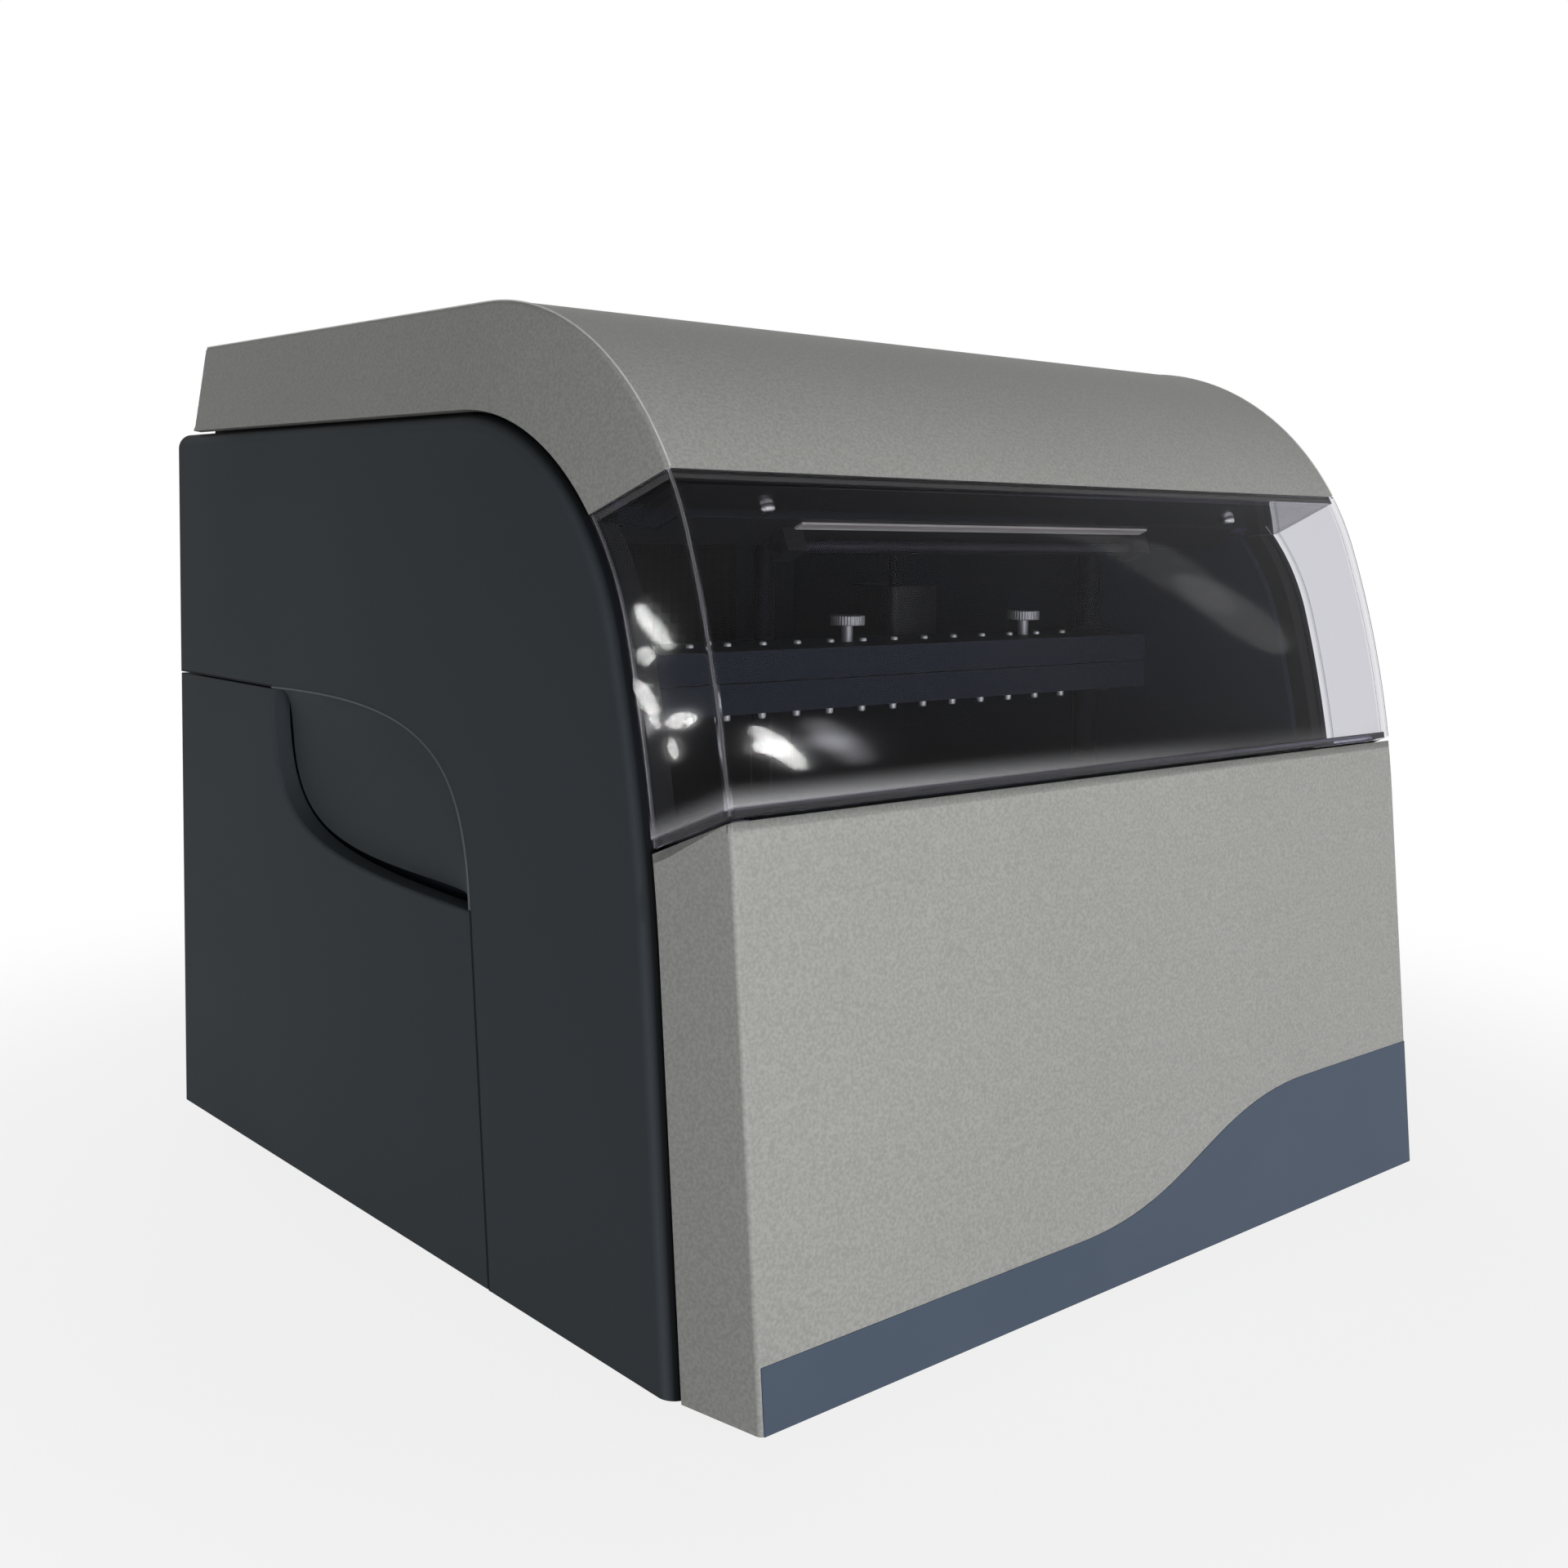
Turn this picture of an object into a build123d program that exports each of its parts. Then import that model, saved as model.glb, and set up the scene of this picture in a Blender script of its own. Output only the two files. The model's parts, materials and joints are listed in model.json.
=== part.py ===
"""Bench-top nucleic acid extractor: a cabinet with a curved lift-up door over a magnetic-rod processing deck.

Millimetres. Pieces are drawn with x across the machine, y back from the front panel's lowest edge and z up
from the casing's lower edge. write() moves each one to the part's frame: +Z up, origin at the bottom centre
of the whole, under the feet.
"""
import os

from math import cos, pi, radians, sin, tan

from build123d import *

# ---- the row of magnet rods, from which the machine's width follows ------------------------------------
ROD_COUNT = 16
ROD_PITCH = 16.0
ROD_Y = 142.7
ROD_RADIUS = 1.3
ROD_CLEARANCE = 0.25        # radial, where a rod slides through the plunger bar
ROD_SHOW = 3.2              # rod below its collar at rest
ROD_RISE = 1.2              # rod above the magnet bar
ROW_HALF = (ROD_COUNT - 1) / 2 * ROD_PITCH
ROD_XS = [i * ROD_PITCH - ROW_HALF for i in range(ROD_COUNT)]

PLATFORM_MARGIN = 6.0       # platform beyond the outermost rod
PLATFORM_SIDE_GAP = 5.0     # platform to guide rod
GUIDE_ROD_RADIUS = 5.0
BAR_END = 10.5              # bar beyond the guide rod's axis
BAR_SIDE_GAP = 2.5          # bar to inner wall
SIDE_SPACE = 16.0           # inner wall's inner face to the side panel's outer face
PLATFORM_HALF_WIDTH = ROW_HALF + PLATFORM_MARGIN
GUIDE_ROD_X = PLATFORM_HALF_WIDTH + PLATFORM_SIDE_GAP + GUIDE_ROD_RADIUS
BAR_HALF_WIDTH = GUIDE_ROD_X + BAR_END
INNER_WALL_X = BAR_HALF_WIDTH + BAR_SIDE_GAP
HALF_WIDTH = INNER_WALL_X + SIDE_SPACE

# ---- casing --------------------------------------------------------------------------------------------
CASE_DEPTH = 345.0          # front panel's lowest edge to the back panel's outer face
FRONT_LEAN = 5.6            # degrees that the front leans back from the vertical
FOOT_HEIGHT = 5.0
SHEET = 2.0                 # base, back and deck sheets
INNER_WALL = 3.0
INNER_WALL_OUT = INNER_WALL_X + INNER_WALL
BASE_GAP = 1.0              # base plate above the casing's lower edge
BASE_TOP = BASE_GAP + SHEET
BASE_FOLD = 14.0
BACK_PANEL_Y = CASE_DEPTH - SHEET
LEAN = radians(FRONT_LEAN)

# ---- deck and platform heights -------------------------------------------------------------------------
DECK_Z = 58.0               # top of the deck plate
DECK_FRONT = 28.0
RAIL_HEIGHT = 8.0
RAIL_WIDTH = 12.0
RAIL_X = 90.0
RAIL_FRONT = 30.0
RAIL_LENGTH = 255.0
RAIL_GROOVE = (3.2, 5.2)    # low and high above the deck
RUNNING_GAP = 0.3           # moving pieces that pass each other
CARRIAGE_GAP = 3.0          # carriage block above the deck
CARRIAGE_WIDTH = 27.0
CARRIAGE_LENGTH = 34.0
CARRIAGE_INSET = 6.0
CARRIAGE_ROOF = 13.7
PLATFORM_Z = DECK_Z + RAIL_HEIGHT + RUNNING_GAP + CARRIAGE_ROOF
PLATFORM_THICKNESS = 6.0
PLATFORM_FRONT = 34.0
PLATFORM_LENGTH = 136.0
PLATFORM_RIM = 4.0
PLATFORM_RIM_HEIGHT = 5.0
PLATFORM_TOP = PLATFORM_Z + PLATFORM_THICKNESS
PLATFORM_MIDDLE = PLATFORM_FRONT + PLATFORM_LENGTH / 2
HEATER_DEPTH = 22.0
HEATER_HEIGHT = 9.0
TUBE_SLOT_WIDTH = 10.0
TUBE_SLOT_DEPTH = 7.0
TUBE_SLOT_END = 5.0
CLIP_LENGTH = 24.0
CLIP_CHEEK = 3.0
CLIP_PIN_RADIUS = 1.25
CLIP_BARREL = 2.0
CLIP_PIVOT_RISE = 2.6
CLIP_LEVER = 6.5
CLIP_LEVER_WALL = 2.4
CLIP_HOOK = 4.5
CLIP_HOOK_WALL = 1.8
CLIP_BEHIND = 10.0          # clips behind the platform's middle
CLIP_Y = PLATFORM_MIDDLE + CLIP_BEHIND
PIN_CLEARANCE = 0.05        # radial, for every pin and journal that turns in a bore

# ---- belt drive ----------------------------------------------------------------------------------------
PULLEY_RADIUS = 6.4
PULLEY_FLANGE = 8.5
PULLEY_FLANGE_WALL = 1.2
PULLEY_FRONT_Y = 46.0
PULLEY_BACK_Y = 262.0
SPINDLE_RADIUS = 2.5
SPINDLE_TOP = 2.5
BELT_THICKNESS = 1.4
BELT_WIDTH = 6.0
BELT_SLACK = 0.1            # belt to pulley face
BELT_SIDE = 0.3             # belt to pulley flange and to its clamp
BELT_Z = DECK_Z + RAIL_HEIGHT
CLAMP_LENGTH = 18.0
CLAMP_IN = 3.2
CLAMP_OUT = 6.0
CLAMP_LIP = 1.5
IDLER_BOSS = 12.0
IDLER_BOSS_RISE = 2.5
PULLEY_RELIEF = 12.0        # hole in the deck over the platform motor's pilot

# ---- bars on the guide rods ----------------------------------------------------------------------------
PLUNGER_BAR_Z = 168.0       # underside at rest
PLUNGER_BAR_HEIGHT = 10.2
MAGNET_BAR_HEIGHT = 10.4
BAR_GAP = 0.4
BAR_FORE = 21.7             # bar in front of the rods
BAR_AFT = 20.3              # and behind them
COLLAR_RADIUS = 3.6
COLLAR_DROP = 1.6           # collar below the plunger bar
COLLAR_SEAT = 2.0           # bar left above the collar
GUIDE_CLEARANCE = 0.06
BUSH_WALL = 2.5
BUSH_FLANGE = 1.5
BUSH_STAND = 3.0            # bush flange above or below its bar
THUMB_PITCH = 96.0          # spacing of the three thumb screws
THUMB_HEAD_RADIUS = 6.5
THUMB_HEAD_HEIGHT = 3.6
THUMB_STEM_RADIUS = 2.1
THUMB_STEM_RISE = 6.0
THUMB_STEM_SEAT = 1.5
KNURL_COUNT = 36
KNURL_DEPTH = 0.4
BAR_FRONT = ROD_Y - BAR_FORE
BAR_BACK = ROD_Y + BAR_AFT
PLUNGER_BAR_TOP = PLUNGER_BAR_Z + PLUNGER_BAR_HEIGHT
MAGNET_BAR_Z = PLUNGER_BAR_TOP + BAR_GAP
MAGNET_BAR_TOP = MAGNET_BAR_Z + MAGNET_BAR_HEIGHT
ROD_TIP_Z = PLUNGER_BAR_Z - COLLAR_DROP - ROD_SHOW
THUMB_XS = (-THUMB_PITCH, 0.0, THUMB_PITCH)

# ---- screws, nuts and motors ---------------------------------------------------------------------------
SCREW_BEHIND = 27.0         # drive screw behind the bars
SCREW_RADIUS = 4.0
SCREW_END_GAP = 8.0         # screw's free end above the platform's rim
NUT_RADIUS = 8.0
NUT_FLANGE = 4.0
NUT_FLANGE_WALL = 3.0
NUT_HEIGHT = 14.0
MOTOR_SIDE = 42.0
MOTOR_HEIGHT = 34.0
MOTOR_BEVEL = 3.5
MOTOR_PILOT = 11.2
JOURNAL_RADIUS = 2.5
JOURNAL_SHORT = 6.0         # journal ends below the motor's top
LIFT_SCREW_X = 70.0
LIFT_SCREW_RADIUS = 2.5
LIFT_SCREW_CLEARANCE = 0.3
LIFT_MOTOR_SIDE = 28.0
LIFT_MOTOR_HEIGHT = 24.0
LIFT_TRAVEL = 12.0          # magnet bar above the plunger bar at most
LIFT_SCREW_SPARE = 2.0      # screw above the lift motor at full travel
LUG_THICKNESS = 5.0
LUG_MARGIN = 4.0            # lug round the nut's flange or the lift motor
SCREW_Y = BAR_BACK + SCREW_BEHIND
SCREW_END_Z = PLATFORM_TOP + PLATFORM_RIM_HEIGHT + SCREW_END_GAP
LIFT_MOTOR_Z = MAGNET_BAR_Z + LUG_THICKNESS
LIFT_SCREW_TOP = LIFT_MOTOR_Z + LIFT_MOTOR_HEIGHT + LIFT_TRAVEL + LIFT_SCREW_SPARE
BEAM_HEADROOM = 49.0        # thumb-screw side of the magnet bar to the beam
BEAM_THICKNESS = 6.0
BEAM_FORE = 18.7
BEAM_MARGIN = 4.0           # beam behind the drive motor
BEAM_Z = MAGNET_BAR_TOP + BEAM_HEADROOM
BEAM_TOP = BEAM_Z + BEAM_THICKNESS
REAR_RAIL_HEIGHT = 28.0
REAR_RAIL_AHEAD = 20.0

# ---- door and front shell: the crease outline, and the rim outline behind it at the sides --------------
SHELL_WALL = 3.0
LINER_INSET = 8.0
LINER_WALL = 2.0
LINER_SIDE_GAP = 3.0
LINER_BACK_GAP = 4.0
MOTOR_HEADROOM = 7.3        # drive motor to liner
CREASE_TOP = BEAM_TOP + MOTOR_HEIGHT + MOTOR_HEADROOM + LINER_WALL + LINER_INSET
CREASE_INSET = 7.4          # crease inside the side panel's face
CREASE_LOWER_RADIUS = 366.0
CREASE_UPPER_RADIUS = 106.0
CREASE_LOWER_TURN = 14.4    # degrees turned by the gentle lower curve
RIM_INSET = 2.4
RIM_SETBACK = 26.5          # rim behind the crease at the bottom
RIM_LOWER_RADIUS = 461.0
RIM_UPPER_RADIUS = 88.0
RIM_LOWER_TURN = 10.8
STRIP_DROP = 31.9           # side strip's height along the hood
HOOD_SHORT = 8.4            # hood's rear face in front of the casing's
CREASE_X = HALF_WIDTH - CREASE_INSET
RIM_X = HALF_WIDTH - RIM_INSET
RIM_TOP = CREASE_TOP - STRIP_DROP
HOOD_BACK = CASE_DEPTH - HOOD_SHORT
HOOD_WALL_Y = HOOD_BACK - SHELL_WALL
LINER_HALF_WIDTH = INNER_WALL_X - LINER_SIDE_GAP
LINER_BACK = HOOD_WALL_Y - LINER_BACK_GAP
LINER_BOSS_RADIUS = 4.0
LINER_BOSS_IN = 16.0
LINER_BOSS_YS = (160.0, 300.0)
INNER_WALL_INSET = 8.0      # inner wall's edge behind the rim

# ---- window --------------------------------------------------------------------------------------------
WINDOW_TILT = 23.5          # degrees that its top and bottom edges fall towards the rear
WINDOW_DROP = 50.3          # head below the hood's top, at the crease
WINDOW_HEIGHT = 88.7
WINDOW_GAP = 1.2            # window's lower edge to the front panel
WINDOW_BASE_LIP = 7.0
WINDOW_HEAD_LIP = 26.0
LIP_THICKNESS = 2.5
SHELF_DEPTH = 10.0          # front panel's ledge under the window's lower lip
SEAL_WIDTH = 3.0
SEAL_GAP = 0.1
CROSSBAR_BACK = 5.5         # crossbar's front edge behind the crease, along the slope
CROSSBAR_DEPTH = 46.0
CROSSBAR_THICKNESS = 3.0
DOOR_SCREW_X = 111.0
DOOR_SCREW_BACK = 18.0
DOOR_SCREW_RADIUS = 1.3
DOOR_SCREW_HEAD = 2.6
DOOR_SCREW_DOME = 2.2
DOOR_SCREW_ROUND = 1.3
LAMP_HALF_LENGTH = 88.0
LAMP_RADIUS = 2.2
LAMP_BACK = 42.5
LAMP_DROP = 4.2
LAMP_HOLDER = (8.0, 9.0, 7.4)
WINDOW_TOP_Z = CREASE_TOP - WINDOW_DROP
WINDOW_BOTTOM_Z = WINDOW_TOP_Z - WINDOW_HEIGHT

# ---- hinge ---------------------------------------------------------------------------------------------
HINGE_X = 110.0
HINGE_RISE = 1.1            # axis above the rim
KNUCKLE_RADIUS = 4.5
HINGE_PIN_RADIUS = 2.0
PIN_END = 0.6
FIXED_KNUCKLE = 20.0
MOVING_KNUCKLE = 7.7
KNUCKLE_GAP = 0.3
LEAF_THICKNESS = 2.2
LEAF_DROP = 30.0
LEAF_BRIDGE = 3.5
LEAF_CLEARANCE = 1.0        # moving leaf's plate above the knuckle
LEAF_TOP_GAP = 4.0
NOTCH_GAP = 0.6
HINGE_Y = HOOD_BACK - SHELL_WALL / 2
HINGE_Z = RIM_TOP + HINGE_RISE
HINGE_REACH = FIXED_KNUCKLE / 2 + KNUCKLE_GAP + MOVING_KNUCKLE
REAR_WALL_Z = HINGE_Z + 1.0
BACK_PANEL_TOP = RIM_TOP - 1.4

# ---- side panels ---------------------------------------------------------------------------------------
PANEL_WALL = 3.0
PANEL_RIM_DEPTH = 7.0       # returned edge of each side panel
PANEL_RIM_WALL = 3.0
PANEL_EDGE_RADIUS = 5.5     # rounded outer edge along the top and front
PANEL_SETBACK = 1.2         # door's rim to side panel
SEAM_GAP = 0.5              # upper panel to lower panel
SEAM_STEP_RADIUS = 1.2
SEAM_Z = 170.7              # level seam towards the back
SEAM_Y = 118.2              # foot of the upright seam
RECESS_LENGTH = 145.8
RECESS_FRONT_Z = 114.0      # lower front corner of the scoop
RECESS_DEPTH = 6.0
RECESS_FLOOR = 9.0          # flat strip at the scoop's deepest
RECESS_BACKING = 2.4
RECESS_MARGIN = 4.0
# Handles of the scoop's curved edges, from its lower front corner, as shares of its length and height.
LOWER_EDGE_HANDLES = ((1.0, 0.14), (0.84, 0.02))
UPPER_EDGE_HANDLES = ((0.17, 1.07), (0.03, 0.82))
PANEL_BOSS_RADIUS = 4.0
BOSS_BACK = 25.0            # rear bosses ahead of the back
BOSS_TOP = 28.4             # top bosses below the rim
BOSS_SEAM = 20.0            # bosses above and below the level seam
BOSS_FOOT = 20.0
BOSS_FRONT = (90.0, 60.0)
BOSS_SHOULDER = (100.0, 215.0)
BOSS_MIDDLE = 200.0
BOSS_BEHIND_SEAM = 42.0
PANEL_IN = HALF_WIDTH - PANEL_WALL
PANEL_RIM_X = HALF_WIDTH - PANEL_RIM_DEPTH
BOSS_BACK_Y = CASE_DEPTH - BOSS_BACK
BOSS_TOP_Z = RIM_TOP - BOSS_TOP
UPPER_BOSSES = (BOSS_FRONT, BOSS_SHOULDER, (BOSS_MIDDLE, BOSS_TOP_Z), (BOSS_BACK_Y, BOSS_TOP_Z),
                (BOSS_BACK_Y, SEAM_Z + BOSS_SEAM))
LOWER_BOSSES = ((SEAM_Y + BOSS_BEHIND_SEAM, BOSS_FOOT), (SEAM_Y + BOSS_BEHIND_SEAM, SEAM_Z / 2),
                (BOSS_BACK_Y, BOSS_FOOT), (BOSS_BACK_Y, SEAM_Z - BOSS_SEAM))
CHANNEL_GAP = 0.6           # seal channel behind the side panel's edge
CHANNEL_SIDE_GAP = 0.2
CHANNEL_FOOT = 1.5
CHANNEL_SHORT = 6.0

# ---- coloured band -------------------------------------------------------------------------------------
BAND_THICKNESS = 0.3
BAND_END_GAP = 1.0
BAND_LOW_Z = 17.5
BAND_HIGH_Z = 44.5
BAND_RISE_START = -30.0
BAND_RISE_END = 92.0
BAND_EASE = 0.45            # share of the rise over which each end of the wave eases

# ---- feet and rear fittings ----------------------------------------------------------------------------
FOOT_RADIUS = 11.0
FOOT_EDGE = 1.0
FOOT_X = 122.0
FOOT_FRONT_Y = 42.0
FOOT_BACK_GAP = 37.0        # rear feet ahead of the back panel's inner face
REAR_STAND = 2.0            # flanges of the rear fittings behind the back panel
FIT_GAP = 0.15              # rear fittings in their cut-outs
FAN_SIDE = 60.0
FAN_DEPTH = 15.0
FAN_X = 70.0
FAN_Z = 205.0
FAN_BORE = 27.5
FAN_HUB = 11.0
FAN_SHAFT = 1.5
FAN_STRUT = 2.5
FAN_BACK_GAP = 2.0
BLADE_COUNT = 7
BLADE_WIDTH = 9.0
BLADE_WALL = 1.2
BLADE_PITCH = 30.0
BLADE_TIP_GAP = 1.0
SLOT_PITCH = 5.6
SLOT_WIDTH = 2.8
VENT_X = (88.0, 138.0)
VENT_Z = 26.0
VENT_PITCH = 6.0
VENT_WIDTH = 2.5
VENT_COUNT = 8
INLET_X = -105.0
INLET_Z = 38.0
INLET_WIDTH = 28.0
INLET_HEIGHT = 24.0
INLET_DEPTH = 22.0
INLET_FLANGE = 3.0
SOCKET_WIDTH = 24.0
SOCKET_HEIGHT = 16.0
SOCKET_DEPTH = 16.0
CONTACT_PLACES = ((-7.0, -2.0), (0.0, 3.5), (7.0, -2.0))
CONTACT_WIDTH = 2.0
CONTACT_HEIGHT = 4.0
CONTACT_BACK = 3.0          # contacts end inside the back panel's face
SWITCH_X = -70.0
SWITCH_DEPTH = 16.0
SWITCH_WALL = 2.2
ROCKER_WIDTH = 9.0
ROCKER_HEIGHT = 17.0
ROCKER_ROOM = 0.8
ROCKER_ROOM_DEPTH = 12.0
ROCKER_PIN = 1.0
ROCKER_PIN_END = 1.6
ROCKER_IN = 4.0             # rocker's axis inside the back panel's outer face
ROCKER_ROOT = 3.0
ROCKER_SHOULDER = 3.5
ROCKER_TIP = 6.2
ROCKER_VALLEY = 4.6
PORT_COUNT = 4
PORT_X = 30.0
PORT_Z = 36.0
PORT_PITCH = 18.0
PORT_WIDTH = 13.2
PORT_HEIGHT = 6.2
PORT_DEPTH = 14.0
PORT_WALL = 0.6
PORT_BACK = 3.0
PORT_TONGUE = (1.0, 0.2, 1.9, 2.0)   # in from each side, low, high, short of the mouth
PORT_STAND = 0.5
BOARD_THICKNESS = 1.6
PORT_BOARD_DEPTH = 16.0
BACK_SCREW_RADIUS = 3.2
BACK_SCREW_HEAD = 1.8
BACK_SCREW_IN = 15.0
BACK_SCREW_ZS = (14.0, 130.0, 246.0)

# ---- electronics ---------------------------------------------------------------------------------------
SUPPLY_X = (-140.0, -50.0)
SUPPLY_LENGTH = 110.0
SUPPLY_HEIGHT = 38.0
SUPPLY_BACK_GAP = 28.0
SUPPLY_SLOTS = 9
SUPPLY_SLOT = (3.0, 9.0, 2.0, 20.0)  # width, pitch, depth, end margin
BOARD_X = (40.0, 140.0)
BOARD_LENGTH = 150.0
BOARD_BACK_GAP = 43.0
BOARD_RISE = 8.0
PILLAR_RADIUS = 3.0
PILLAR_INSET = 8.0
# Each tall part on the control board: x and y from the board's corner, then width, depth and height.
CHIPS = ((30.0, 50.0, 22.0, 22.0, 3.0), (65.0, 40.0, 14.0, 14.0, 2.4),
         (80.0, 100.0, 10.0, 40.0, 11.0), (30.0, 110.0, 16.0, 30.0, 9.0))

REACH = 2 * CASE_DEPTH      # longer than anything that a cutting tool has to pass


# ---- helpers -------------------------------------------------------------------------------------------
def block(x, y, z):
    """A box from its low and high value along each axis."""
    size = [high - low for low, high in (x, y, z)]
    middle = [(low + high) / 2 for low, high in (x, y, z)]
    return Pos(*middle) * Box(*size)


def rod(axis, centre, radius, span):
    """A cylinder along "x", "y" or "z"; centre holds the other two coordinates in X, Y, Z order."""
    length = span[1] - span[0]
    middle = (span[0] + span[1]) / 2
    place = {"x": (middle, *centre), "y": (centre[0], middle, centre[1]), "z": (*centre, middle)}[axis]
    turn = {"x": Rot(0, 90, 0), "y": Rot(90, 0, 0), "z": Rot(0, 0, 0)}[axis]
    return Pos(*place) * turn * Cylinder(radius, length)


def around(middle, half):
    return (middle - half, middle + half)


def slab(face, low, high):
    """A face drawn in the YZ plane, stretched from x = low to x = high."""
    return Pos(low, 0, 0) * extrude(face, high - low, dir=(1, 0, 0))


def group(*pieces):
    """One compound of plain solids."""
    return Compound([solid for piece in pieces for solid in piece.solids()])


def mirrored(shape):
    """The same piece for the other side of the machine."""
    return mirror(shape, Plane.YZ)


def cut(shape, *tools):
    for tool in tools:
        shape = shape - tool
    return shape


def joined(shape, *others):
    for other in others:
        shape = shape + other
    return shape


# ---- outlines in the YZ plane --------------------------------------------------------------------------
def crease_y(z):
    """How far back the leaning front is at a height, below where its curve starts."""
    return z * tan(LEAN)


def arc_middle(start, angle, radius, turned):
    half = angle + turned / 2
    return (start[0] + radius * (cos(angle) - cos(half)), start[1] + radius * (sin(half) - sin(angle)))


def outline(setback, top, radii, lower_turn, inset, back, low):
    """Leaning front, two arcs over to a flat top, then back and bottom.

    inset moves the front, the arcs and the top inwards in parallel.
    """
    turn_1 = radians(lower_turn)
    middle = LEAN + turn_1
    r_1, r_2 = (radius - inset for radius in radii)
    climb = r_1 * (sin(middle) - sin(LEAN)) + r_2 * (1 - sin(middle))
    front = setback + inset / cos(LEAN)
    foot = (front + crease_y(low), low)
    start = (front + crease_y(top - inset - climb), top - inset - climb)
    mid = (start[0] + r_1 * (cos(LEAN) - cos(middle)), start[1] + r_1 * (sin(middle) - sin(LEAN)))
    end = (mid[0] + r_2 * cos(middle), top - inset)
    corners = [Vector(0, *p) for p in (foot, start, mid, end, (back, top - inset), (back, low))]
    arc_1 = Vector(0, *arc_middle(start, LEAN, r_1, turn_1))
    arc_2 = Vector(0, *arc_middle(mid, middle, r_2, pi / 2 - middle))
    return Face(Wire([
        Edge.make_line(corners[0], corners[1]),
        Edge.make_three_point_arc(corners[1], arc_1, corners[2]),
        Edge.make_three_point_arc(corners[2], arc_2, corners[3]),
        Edge.make_line(corners[3], corners[4]),
        Edge.make_line(corners[4], corners[5]),
        Edge.make_line(corners[5], corners[0]),
    ]))


def crease_outline(inset=0.0, back=HOOD_BACK):
    radii = (CREASE_LOWER_RADIUS, CREASE_UPPER_RADIUS)
    return outline(0.0, CREASE_TOP, radii, CREASE_LOWER_TURN, inset, back, 0.0)


def rim_outline(inset=0.0, back=HOOD_BACK, low=0.0):
    radii = (RIM_LOWER_RADIUS, RIM_UPPER_RADIUS)
    return outline(RIM_SETBACK, RIM_TOP, radii, RIM_LOWER_TURN, inset, back, low)


def crease_point(z):
    """The crease outline's y at height z, on its leaning front or its gentle curve."""
    middle = LEAN + radians(CREASE_LOWER_TURN)
    climb = CREASE_LOWER_RADIUS * (sin(middle) - sin(LEAN)) + CREASE_UPPER_RADIUS * (1 - sin(middle))
    start_z = CREASE_TOP - climb
    if z < start_z:
        return crease_y(z)
    turned_z = z - start_z + CREASE_LOWER_RADIUS * sin(LEAN)
    if turned_z < CREASE_LOWER_RADIUS * sin(middle):
        reach = (CREASE_LOWER_RADIUS**2 - turned_z**2) ** 0.5
        return crease_y(start_z) + CREASE_LOWER_RADIUS * cos(LEAN) - reach
    shift = CREASE_LOWER_RADIUS * cos(LEAN) - (CREASE_LOWER_RADIUS - CREASE_UPPER_RADIUS) * cos(middle)
    turned_z -= (CREASE_LOWER_RADIUS - CREASE_UPPER_RADIUS) * sin(middle)
    return crease_y(start_z) + shift - (CREASE_UPPER_RADIUS**2 - turned_z**2) ** 0.5


HEAD_Y = crease_point(WINDOW_TOP_Z)
SILL_Y = crease_point(WINDOW_BOTTOM_Z)


def at_x(face, x):
    return Pos(x, 0, 0) * face


def front_body(inset):
    """The space inside the door and front shell: crease outline in the middle, rim outline at the sides."""
    half = CREASE_X - inset
    side = RIM_X - inset
    strip = loft([at_x(crease_outline(inset), half), at_x(rim_outline(), side)], ruled=True)
    body = joined(slab(crease_outline(inset), -half, half), strip, mirrored(strip))
    if inset:
        end = slab(rim_outline(), side, HALF_WIDTH + inset)
        body = joined(body, end, mirrored(end))
    return body


def half_space(y, z, offset, above):
    """A large block above or below the window's sloping cut through (y, z), moved up by offset."""
    lift = REACH / 2 if above else -REACH / 2
    return Pos(0, y, z) * Rot(-WINDOW_TILT, 0, 0) * Pos(0, 0, lift + offset) * Box(REACH, REACH, REACH)


def above_head(offset=0.0):
    return half_space(HEAD_Y, WINDOW_TOP_Z, offset, True)


def below_head(offset=0.0):
    return half_space(HEAD_Y, WINDOW_TOP_Z, offset, False)


def above_sill(offset=0.0):
    return half_space(SILL_Y, WINDOW_BOTTOM_Z, offset, True)


def below_sill(offset=0.0):
    return half_space(SILL_Y, WINDOW_BOTTOM_Z, offset, False)


def head_point(back, drop=0.0):
    """(y, z) that far behind the crease along the slope of the window's head, and that far below it."""
    tilt = radians(WINDOW_TILT)
    return (HEAD_Y + back * cos(tilt) - drop * sin(tilt), WINDOW_TOP_Z - back * sin(tilt) - drop * cos(tilt))


def on_head(x, back, low, high):
    """A place on the head's slope, for a piece that runs from low to high square to it."""
    return Pos(x, *head_point(back)) * Rot(-WINDOW_TILT, 0, 0) * Pos(0, 0, (low + high) / 2)


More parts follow.
